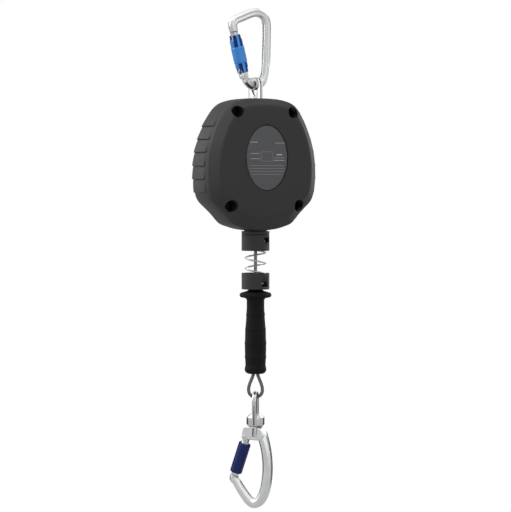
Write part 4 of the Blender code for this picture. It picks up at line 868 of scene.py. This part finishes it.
# Rope eye: the rope's own end, turned back into the ferrule to make a loop. It is stained and darker than the rest.
EYE_TURN, EYE_Z, EYE_R = -32.0, -520.3, 9.7
stained = finish("stained_wire", lambda tone: wired(tone, (0.008, 0.007, 0.006), (0.20, 0.18, 0.155)), Metallic=0.85)
leg = np.array([(2.8, -475), (2.8, -494), (3.3, -499), (5.6, -505), (8.2, -511.5), (9.5, -516.5)])
t = np.linspace(0, -np.pi, 13)
loop = np.concatenate([leg, np.stack([EYE_R * np.cos(t), EYE_Z + EYE_R * np.sin(t)], 1), leg[::-1] * (-1, 1)])
loop = np.insert(through(loop, 240), 1, 0, axis=1)
rope_eye = shifted(rope("rope_eye_loop", loop, (0, 1, 0), stained), stand(0, 0, 0, EYE_TURN))
fitted(rope_eye, "handle", "spring_steel", "rope_eye")

# Swivel: a forged steel bow that hangs in the rope's eye and straddles a turned barrel. A headed stud in the barrel
# carries the hook, which turns on it.


def oval_section(half_a, half_b, power, columns=48):
    """A soft-cornered section, |a / half_a|^power + |b / half_b|^power = 1."""
    t = np.linspace(0, 2 * np.pi, columns, endpoint=False)
    c, s = np.cos(t), np.sin(t)
    half_a, half_b = np.asarray(half_a, float)[..., None], np.asarray(half_b, float)[..., None]
    return np.stack([half_a * np.sign(c) * np.abs(c) ** (2 / power), half_b * np.sign(s) * np.abs(s) ** (2 / power)], -1)


def fused(name, voxel, ease, *pieces):
    """Forges shapes into one: their skins are made one closed skin of small even cells, then eased."""
    obj = united(name, *pieces)
    melt = obj.modifiers.new("melt", "REMESH")
    melt.mode, melt.voxel_size = "VOXEL", voxel * MM
    smooth = obj.modifiers.new("ease", "SMOOTH")
    smooth.factor, smooth.iterations = 0.5, ease
    settled(obj)
    obj.data.polygons.foreach_set("use_smooth", np.ones(len(obj.data.polygons), bool))
    return obj


def shaded(obj, mark):
    """Marks a finished mesh with painted shade in its seams and grooves, from each point's place in millimetres."""
    at = np.empty(len(obj.data.vertices) * 3, np.float32)
    obj.data.vertices.foreach_get("co", at)
    value = np.asarray(mark(at.reshape(-1, 3) / MM), np.float32)
    obj.data.attributes.new("shade", "FLOAT", "POINT").data.foreach_set("value", value)
    return obj


t = np.linspace(np.pi, 0, 25)
bow = np.concatenate([[(-11.5, -568.4), (-11.5, -560), (-11.5, -548)], np.stack([11.5 * np.cos(t), -535.7 + 11.5 * np.sin(t)], 1),
                      [(11.5, -548), (11.5, -560), (11.5, -568.4)]])
bow = np.insert(through(bow, 160), 1, 0, axis=1)
bow_bar = carried("bow", bow, oval_section(3.0, 3.0, 4.0), (0, 1, 0), polished_steel)
barrel = eased([(4.8, -553.5), (7.5, -553.5), (12.6, -558.1), (12.6, -567.6), (10.8, -570.2), (4.8, -570.2)], 0.35, 5)
swivel = carved(turned("swivel_bow", barrel, polished_steel, 96), bow_bar, way="UNION")
groove = np.array([(-0.35, -541.0), (0.35, -541.0), (0.95, -569.3), (-0.95, -569.3)])
for side in (-1, 1):
    carved(swivel, shifted(slab_cutter("groove", groove, 12.7, 20.0), stand(0, 0, 0, 90 * side)))
# Painted shade along the bottom of the groove in each leg of the bow.
shaded(swivel, lambda at: (np.abs(at[:, 1]) < 1.2) & (np.abs(at[:, 0]) < 13.4) & (np.abs(at[:, 0]) > 12.4) & (at[:, 2] < -540.5))
swivel.data.set_sharp_from_angle(angle=math.radians(30))
fitted(shifted(swivel, stand(0, 0, 0, EYE_TURN + 90)), "swivel", "zinc_steel", "swivel_eye")
stud = eased([(0.01, -586.0), (6.0, -586.0), (6.0, -580.4), (4.5, -580.4), (4.5, -560.1), (0.01, -560.1)], 0.6, 5)
fitted(turned("swivel_stud_pin", stud, polished_steel, 64), "swivel", "zinc_steel", "swivel_stud")

# Hook: a drop-forged aluminium body, tumbled bright, with the stud's window and the gate's fork in its head. Its gate
# turns on a steel pin, and a navy twist sleeve locks it shut.
def bevelled(face_a, face_b, ease, count=96):
    """A forged bar's section in half sizes: a rectangle with its corners bevelled and eased, set out at even steps."""
    line = eased([(1, -face_a), (1, face_a), (face_b, 1), (-face_b, 1), (-1, face_a), (-1, -face_a), (-face_b, -1),
                  (face_b, -1)], ease, 6)
    line = np.concatenate([line, line[:1]])
    far = np.concatenate([[0], np.cumsum(np.linalg.norm(np.diff(line, axis=0), axis=1))])
    at = np.linspace(0, far[-1], count, endpoint=False)
    return np.stack([np.interp(at, far, line[:, 0]), np.interp(at, far, line[:, 1])], 1)


HOOK_AT = stand(0, 0, -570.2, -51)
HOOK_PIVOT, HOOK_LEAN, HOOK_GATE_L = np.array([-13.3, -15.8]), math.radians(19.4), 58.6
HOOK_LINE = [(3, -9.1), (9.6, -11.8), (13.9, -21.4), (17.1, -34.8), (18.9, -48.8), (19.1, -62.8), (17.7, -76.8),
             (15.2, -88.8), (11.2, -98.8), (5.4, -106.4), (-1.8, -109.4), (-9.4, -106.4), (-17.3, -98), (-24.5, -88.8),
             (-29.6, -81.3)]
gate_way = np.array([-math.sin(HOOK_LEAN), -math.cos(HOOK_LEAN)])
nose = HOOK_PIVOT + gate_way * (HOOK_GATE_L + 0.6)
line = through(HOOK_LINE + [tuple(nose + gate_way * 5), tuple(nose)], 260)
u = np.linspace(0, 1, 260)
in_plane = np.interp(u, [0, .17, .34, .58, .88, 1], [6.5, 6.5, 6.7, 6.9, 5.8, 5.3])
across = np.interp(u, [0, .09, .26, .86, 1], [8.0, 7.9, 6.3, 6.2, 5.3])
bar_section = bevelled(0.42, 0.52, 0.16) * np.stack([across, in_plane], 1)[:, None]
hook_bar = carried("bar", np.insert(line, 1, 0, axis=1), bar_section, (0, 1, 0), aluminium)


def plate(name, outline, low, high, ease, material, rows=6):
    """A flat outline (x, z) given thickness along y, its rims rounded over: the outline draws in by the same easing
    that its depth follows, and the faces close on the middle."""
    outline = np.asarray(outline, float)
    along = np.roll(outline, -1, 0) - np.roll(outline, 1, 0)
    along /= np.maximum(np.linalg.norm(along, axis=1, keepdims=True), 1e-9)
    inward = np.stack([along[:, 1], -along[:, 0]], 1)
    area = (outline[:, 0] * np.roll(outline[:, 1], -1) - np.roll(outline[:, 0], -1) * outline[:, 1]).sum()
    inward = inward if area < 0 else -inward
    roll = np.linspace(0, np.pi / 2, rows)
    draw = np.concatenate([1 - np.sin(roll), 1 - np.cos(roll)]) * ease
    depth = np.concatenate([low + ease * (1 - np.cos(roll)), high - ease * (1 - np.sin(roll))])
    flat = outline[None] + draw[:, None, None] * inward[None]
    middle = np.broadcast_to(outline.mean(0), (1, *outline.shape))
    flat = np.concatenate([middle, flat, middle])
    depth = np.concatenate([[low], depth, [high]])
    return skin(name, np.insert(flat, 1, depth[:, None], axis=2), material)


def arc(x, z, r, start, end, count):
    """Points on an arc, in degrees."""
    t = np.radians(np.linspace(start, end, count))
    return np.stack([x + r * np.cos(t), z + r * np.sin(t)], 1)


head = np.concatenate([[(-15.6, -2.4), (-13.6, -0.4), (5.5, -0.4), (10, -2.4), (13.4, -5.6), (16.6, -12.6), (15.4, -19), (6, -20),
                        (-3, -19.6), (-8.4, -19.4)], arc(*HOOK_PIVOT, 5.2, -50, -180, 9), [(-17.4, -9.6)]])
head_block = plate("head", eased(head, 2.0, 5), -8.0, 8.0, 1.6, aluminium)
hook_body = fused("hook_forging", 0.42, 6, hook_bar, head_block)
fork = slab_cutter("fork", np.array([(-40, -30), (-8.4, -30), (-8.4, -9.0), (-40, -9.0)]), -3.2, 3.2)
pocket = slab_cutter("pocket", ring_line(6.6, 64), -16.3, -9.7, 2)
window = slab_cutter("window", eased([(-1.4, -14.5), (6.6, -14.5), (7.0, -2.6), (-1.4, -2.6)], 1.0, 5), -20, 20)
stud_way = slab_cutter("stud_way", ring_line(4.9, 64), -11.6, 12, 2)
pin_way = slab_cutter("pin_way", HOOK_PIVOT + ring_line(2.3, 40), -20, 20)
carved(hook_body, fork)
carved(hook_body, window)
carved(hook_body, pocket)
carved(hook_body, stud_way, pin_way)
hook_body.data.set_sharp_from_angle(angle=math.radians(45))
fitted(shifted(hook_body, HOOK_AT), "hook", "aluminium", "hook_body")
pin = eased([(0.01, 8.7), (2.2, 8.7), (2.6, 8.1), (2.0, 7.9), (2.0, -7.9), (2.6, -8.1), (2.2, -8.7), (0.01, -8.7)], 0.4, 4)
hook_pin = shifted(turned("hook_rivet", pin, polished_steel, 40), HOOK_AT @ stand(*np.insert(HOOK_PIVOT, 1, 0), 0, 0, 90))
fitted(hook_pin, "hook", "zinc_steel", "hook_gate_pin")

GATE_AT = HOOK_AT @ stand(HOOK_PIVOT[0], 0, HOOK_PIVOT[1], 0, 180 + 19.4)
rod = eased([(2.2, 8.0), (5.2, 8.0), (5.2, 58.6), (0.01, 58.6), (0.01, 26), (2.2, 26)], 0.7, 5)
tongue = np.concatenate([arc(0, 0, 4.0, 180, 360, 17), [(4.0, 12), (-4.0, 12)]])
hook_gate = united("hook_gate_bar", turned("rod", rod, aluminium, 64), plate("tongue", tongue, -2.8, 2.8, 0.5, aluminium))
fitted(shifted(hook_gate, GATE_AT), "hook_gate", "aluminium", "hook_gate")


def gate_coil(name, place):
    """The small closing spring in a gate's bore: four turns."""
    t = np.linspace(0, 1, 161)
    path = np.stack([1.45 * np.cos(8 * np.pi * t), 1.45 * np.sin(8 * np.pi * t), 8.0 + 17.3 * t], 1)
    return shifted(wire(name, path, 0.4, (0, 0, 1), spring_steel, 10), place)


fitted(gate_coil("hook_gate_coil", GATE_AT), "hook_gate", "spring_steel", "hook_gate_spring")


def anodised(tone, deep, bright):
    cloud, fine = noise(tone, 90.0, 3.0), noise(tone, 1500.0, 2.0)
    return {"Base Color": between(tone, cloud, deep, bright), "Roughness": 0.28 + 0.14 * cloud,
            "Normal": tone.make("Bump", None, {"Strength": 0.12, "Distance": 0.0002, "Height": fine})}


navy = finish("navy_anodised", lambda tone: anodised(tone, (0.005, 0.011, 0.070), (0.008, 0.018, 0.105)), Metallic=0.7)
a = np.linspace(0, 2 * np.pi, 120, endpoint=False)[None]
z = np.concatenate([[10, 10, 10.8], np.linspace(11, 53.3, 120), [53.5, 54.3, 54.3]])[:, None]
r = np.concatenate([[5.5, 7.8, 8.55], np.full(120, 8.6), [8.55, 7.8, 5.5]])[:, None]
r = r - 0.16 * (0.5 + 0.5 * np.cos(2 * np.pi * (z - 11) / 5.3)) ** 6 * (r > 8.5) + 0 * a
notch = np.abs((np.degrees(a) - 187 + 60) % 120 - 60) < 13
z = np.where(z < 14, 14 - (14 - z) * (1 - 0.62 * notch), z)
sleeve_grid = np.stack([r * np.cos(a), r * np.sin(a), z], -1)
hook_sleeve = shifted(skin("hook_twist_sleeve", sleeve_grid, navy, closed=True), GATE_AT)
fitted(hook_sleeve, "hook_sleeve", "navy_anodised", "hook_sleeve")

# Top carabiner: an aluminium forging with a ridged bar, its gate forked over the hinge, and a blue twist sleeve with
# open flutes at both ends and a knurled belt between them.
TOP_AT = stand(0, 0, 0, 8)
TOP_PIVOT, TOP_LEAN, TOP_GATE_L = np.array([-19.0, -82.0]), math.radians(-14.7), 62.6
top_way = np.array([math.sin(TOP_LEAN), math.cos(TOP_LEAN)])
top_nose = TOP_PIVOT + top_way * (TOP_GATE_L + 0.5)
CROWN = np.array([(-1.4, 5.3), (-1.6, 10), (0.8, 14.4), (5.5, 17.2), (13, 20.1), (23, 24.3), (34, 27), (42.2, 26), (48.9, 21.9),
                  (52.4, 14.5), (53.2, 5)])
SPINE = [(17.6, -45), (16.6, -71), (14.6, -82), (9, -91.2), (0, -96), (-8, -94.3), (-15.3, -88.4)]
line = through(np.concatenate([[top_nose], top_nose + CROWN, SPINE]), 320)
u = np.linspace(0, 1, 320)
in_plane = np.interp(u, [0, .06, .2, .5, .8, 1], [5.4, 6.0, 6.2, 5.2, 5.7, 5.2])
across = np.interp(u, [0, .06, 1], [5.4, 5.7, 5.7])
section = bevelled(0.46, 0.46, 0.18, 120) * np.stack([across, in_plane], 1)[:, None]
flute = step(.05, .10, u) * (1 - step(.70, .73, u))
hollow = 1.15 * flute[:, None] * np.exp(-(section[..., 1] / 1.7) ** 4) * step(0, 2.5, np.abs(section[..., 0]))
section[..., 0] -= np.sign(section[..., 0]) * hollow
top_bar = carried("bar", np.insert(line, 1, 0, axis=1), section, (0, 1, 0), aluminium)
stop = np.array([-15.3, -88.4])
toward = (stop - TOP_PIVOT) / np.linalg.norm(stop - TOP_PIVOT)
side = np.array([-toward[1], toward[0]])
far = np.linalg.norm(stop - TOP_PIVOT) + 3.5
base = math.degrees(math.atan2(-toward[1], -toward[0]))
tongue = np.concatenate([arc(*TOP_PIVOT, 4.8, base - 90, base + 90, 17),
                         [TOP_PIVOT + toward * far - side * 4.6, TOP_PIVOT + toward * far + side * 4.6]])
top_body = carved(top_bar, plate("tongue", tongue, -2.3, 2.3, 0.5, aluminium), way="UNION")
top_body.name = "carabiner_forging"
carved(top_body, slab_cutter("pin_way", TOP_PIVOT + ring_line(2.3, 40), -20, 20))
# Painted shade on the nose's end, in the seam where the gate closes on it.
shaded(top_body, lambda at: ((at[:, ::2] - top_nose) @ top_way < 0.25) & (np.linalg.norm(at[:, ::2] - top_nose, axis=1) < 9))
top_body.data.set_sharp_from_angle(angle=math.radians(45))
fitted(shifted(top_body, TOP_AT), "carabiner", "aluminium", "carabiner_body")
pin = eased([(0.01, 6.3), (1.9, 6.3), (2.4, 5.7), (2.0, 5.4), (2.0, -5.4), (2.4, -5.7), (1.9, -6.3), (0.01, -6.3)], 0.35, 4)
top_pin = shifted(turned("carabiner_rivet", pin, polished_steel, 40), TOP_AT @ stand(*np.insert(TOP_PIVOT, 1, 0), 0, 0, 90))
fitted(top_pin, "carabiner", "zinc_steel", "carabiner_gate_pin")

TOP_GATE_AT = TOP_AT @ stand(TOP_PIVOT[0], 0, TOP_PIVOT[1], 0, -14.7)
rod = eased([(2.2, 7.2), (5.4, 7.2), (5.4, 62.6), (0.01, 62.6), (0.01, 26), (2.2, 26)], 0.7, 5)
cheek = np.concatenate([arc(0, 0, 4.9, 180, 360, 25), [(4.9, 8.5), (-4.9, 8.5)]])
top_gate = united("carabiner_gate_bar", turned("rod", rod, aluminium, 64), plate("cheek_front", cheek, -5.1, -2.6, 0.6, aluminium),
                  plate("cheek_back", cheek, 2.6, 5.1, 0.6, aluminium))
# Painted shade on the gate's top end, in the seam where it meets the nose.
shaded(top_gate, lambda at: step(61.6, 62.4, at[:, 2]))
fitted(shifted(top_gate, TOP_GATE_AT), "carabiner_gate", "aluminium", "carabiner_gate")
fitted(gate_coil("carabiner_gate_coil", TOP_GATE_AT), "carabiner_gate", "spring_steel", "carabiner_gate_spring")


def blue_sleeve(tone):
    """Bright blue on the lands, with painted shade darkening the flutes, and a fine knurl on the belt."""
    flute = tone.make("Attribute", {"attribute_name": "flute"}, out="Fac")
    belt = tone.make("Attribute", {"attribute_name": "belt"}, out="Fac")
    cloud, knurl = noise(tone, 90.0, 3.0), noise(tone, 1600.0, 1.0)
    face = between(tone, cloud, (0.036, 0.170, 0.46), (0.056, 0.232, 0.57))
    return {"Base Color": tone.make("Mix", {"data_type": "RGBA"}, {0: flute, 6: face, 7: (0.006, 0.022, 0.13, 1)}, 2),
            "Roughness": 0.30 + 0.10 * cloud + 0.12 * belt,
            "Normal": tone.make("Bump", None, {"Strength": 0.35, "Distance": 0.0004, "Height": knurl * belt})}


TAB_AT, FLUTE_FROM_TAB = 262.0, 30.5
blue = finish("blue_anodised", blue_sleeve, Metallic=0.75)
s0, s1, full, land = 4.6, 57.6, 9.2, 8.7
low, high = 18.0, 41.4
z = np.concatenate([[s0, s0, s0 + 0.4], np.linspace(s0 + 1, low - 0.6, 18), np.linspace(low - 0.4, low + 0.4, 7),
                    np.linspace(low + 0.6, high - 0.6, 24), np.linspace(high - 0.4, high + 0.4, 7),
                    np.linspace(high + 0.6, s1 - 1, 18), [s1 - 0.4, s1, s1]])[:, None]
a = np.linspace(0, 2 * np.pi, 360, endpoint=False)[None]
belt = step(low + 0.6, low + 1.6, z) * (1 - step(high - 1.6, high - 0.6, z))
end = np.minimum(step(-0.01, 1.0, z - s0), step(-0.01, 1.0, s1 - z))
r = land - 0.7 * (1 - end) + (full - land) * belt + 0 * a
turn = (np.degrees(a) - TAB_AT + 90) % 180 - 90
d = np.abs(turn) - FLUTE_FROM_TAB
cut = 9.8 * np.cos(np.radians(d)) - np.sqrt(np.maximum(3.1**2 - (9.8 * np.sin(np.radians(d))) ** 2, 0))
inside = (np.abs(d) < 18.4) * np.maximum(1 - step(low - 0.4, low + 0.4, z), step(high - 0.4, high + 0.4, z))
r = r + (np.minimum(cut, r) - r) * inside
r[[0, -1]] = 5.7
short = d > 16.5
z = z + 0 * a
z = np.where(z < low, low - (low - z) * (1 - 6.4 / (low - s0) * short), z)
z = np.where(z > high, high + (z - high) * (1 - 6.4 / (s1 - high) * short), z)
# flute marks painted shade, strongest where a flute is cut deepest.
marks = {"flute": inside * step(0.2, 0.9, land - r), "belt": belt + 0 * a}
blue_grid = np.stack([r * np.cos(a), r * np.sin(a), z], -1)
top_sleeve = shifted(skin("carabiner_twist_sleeve", blue_grid, blue, closed=True, sharp=35, marks=marks), TOP_GATE_AT)
fitted(top_sleeve, "carabiner_sleeve", "blue_anodised", "carabiner_sleeve")
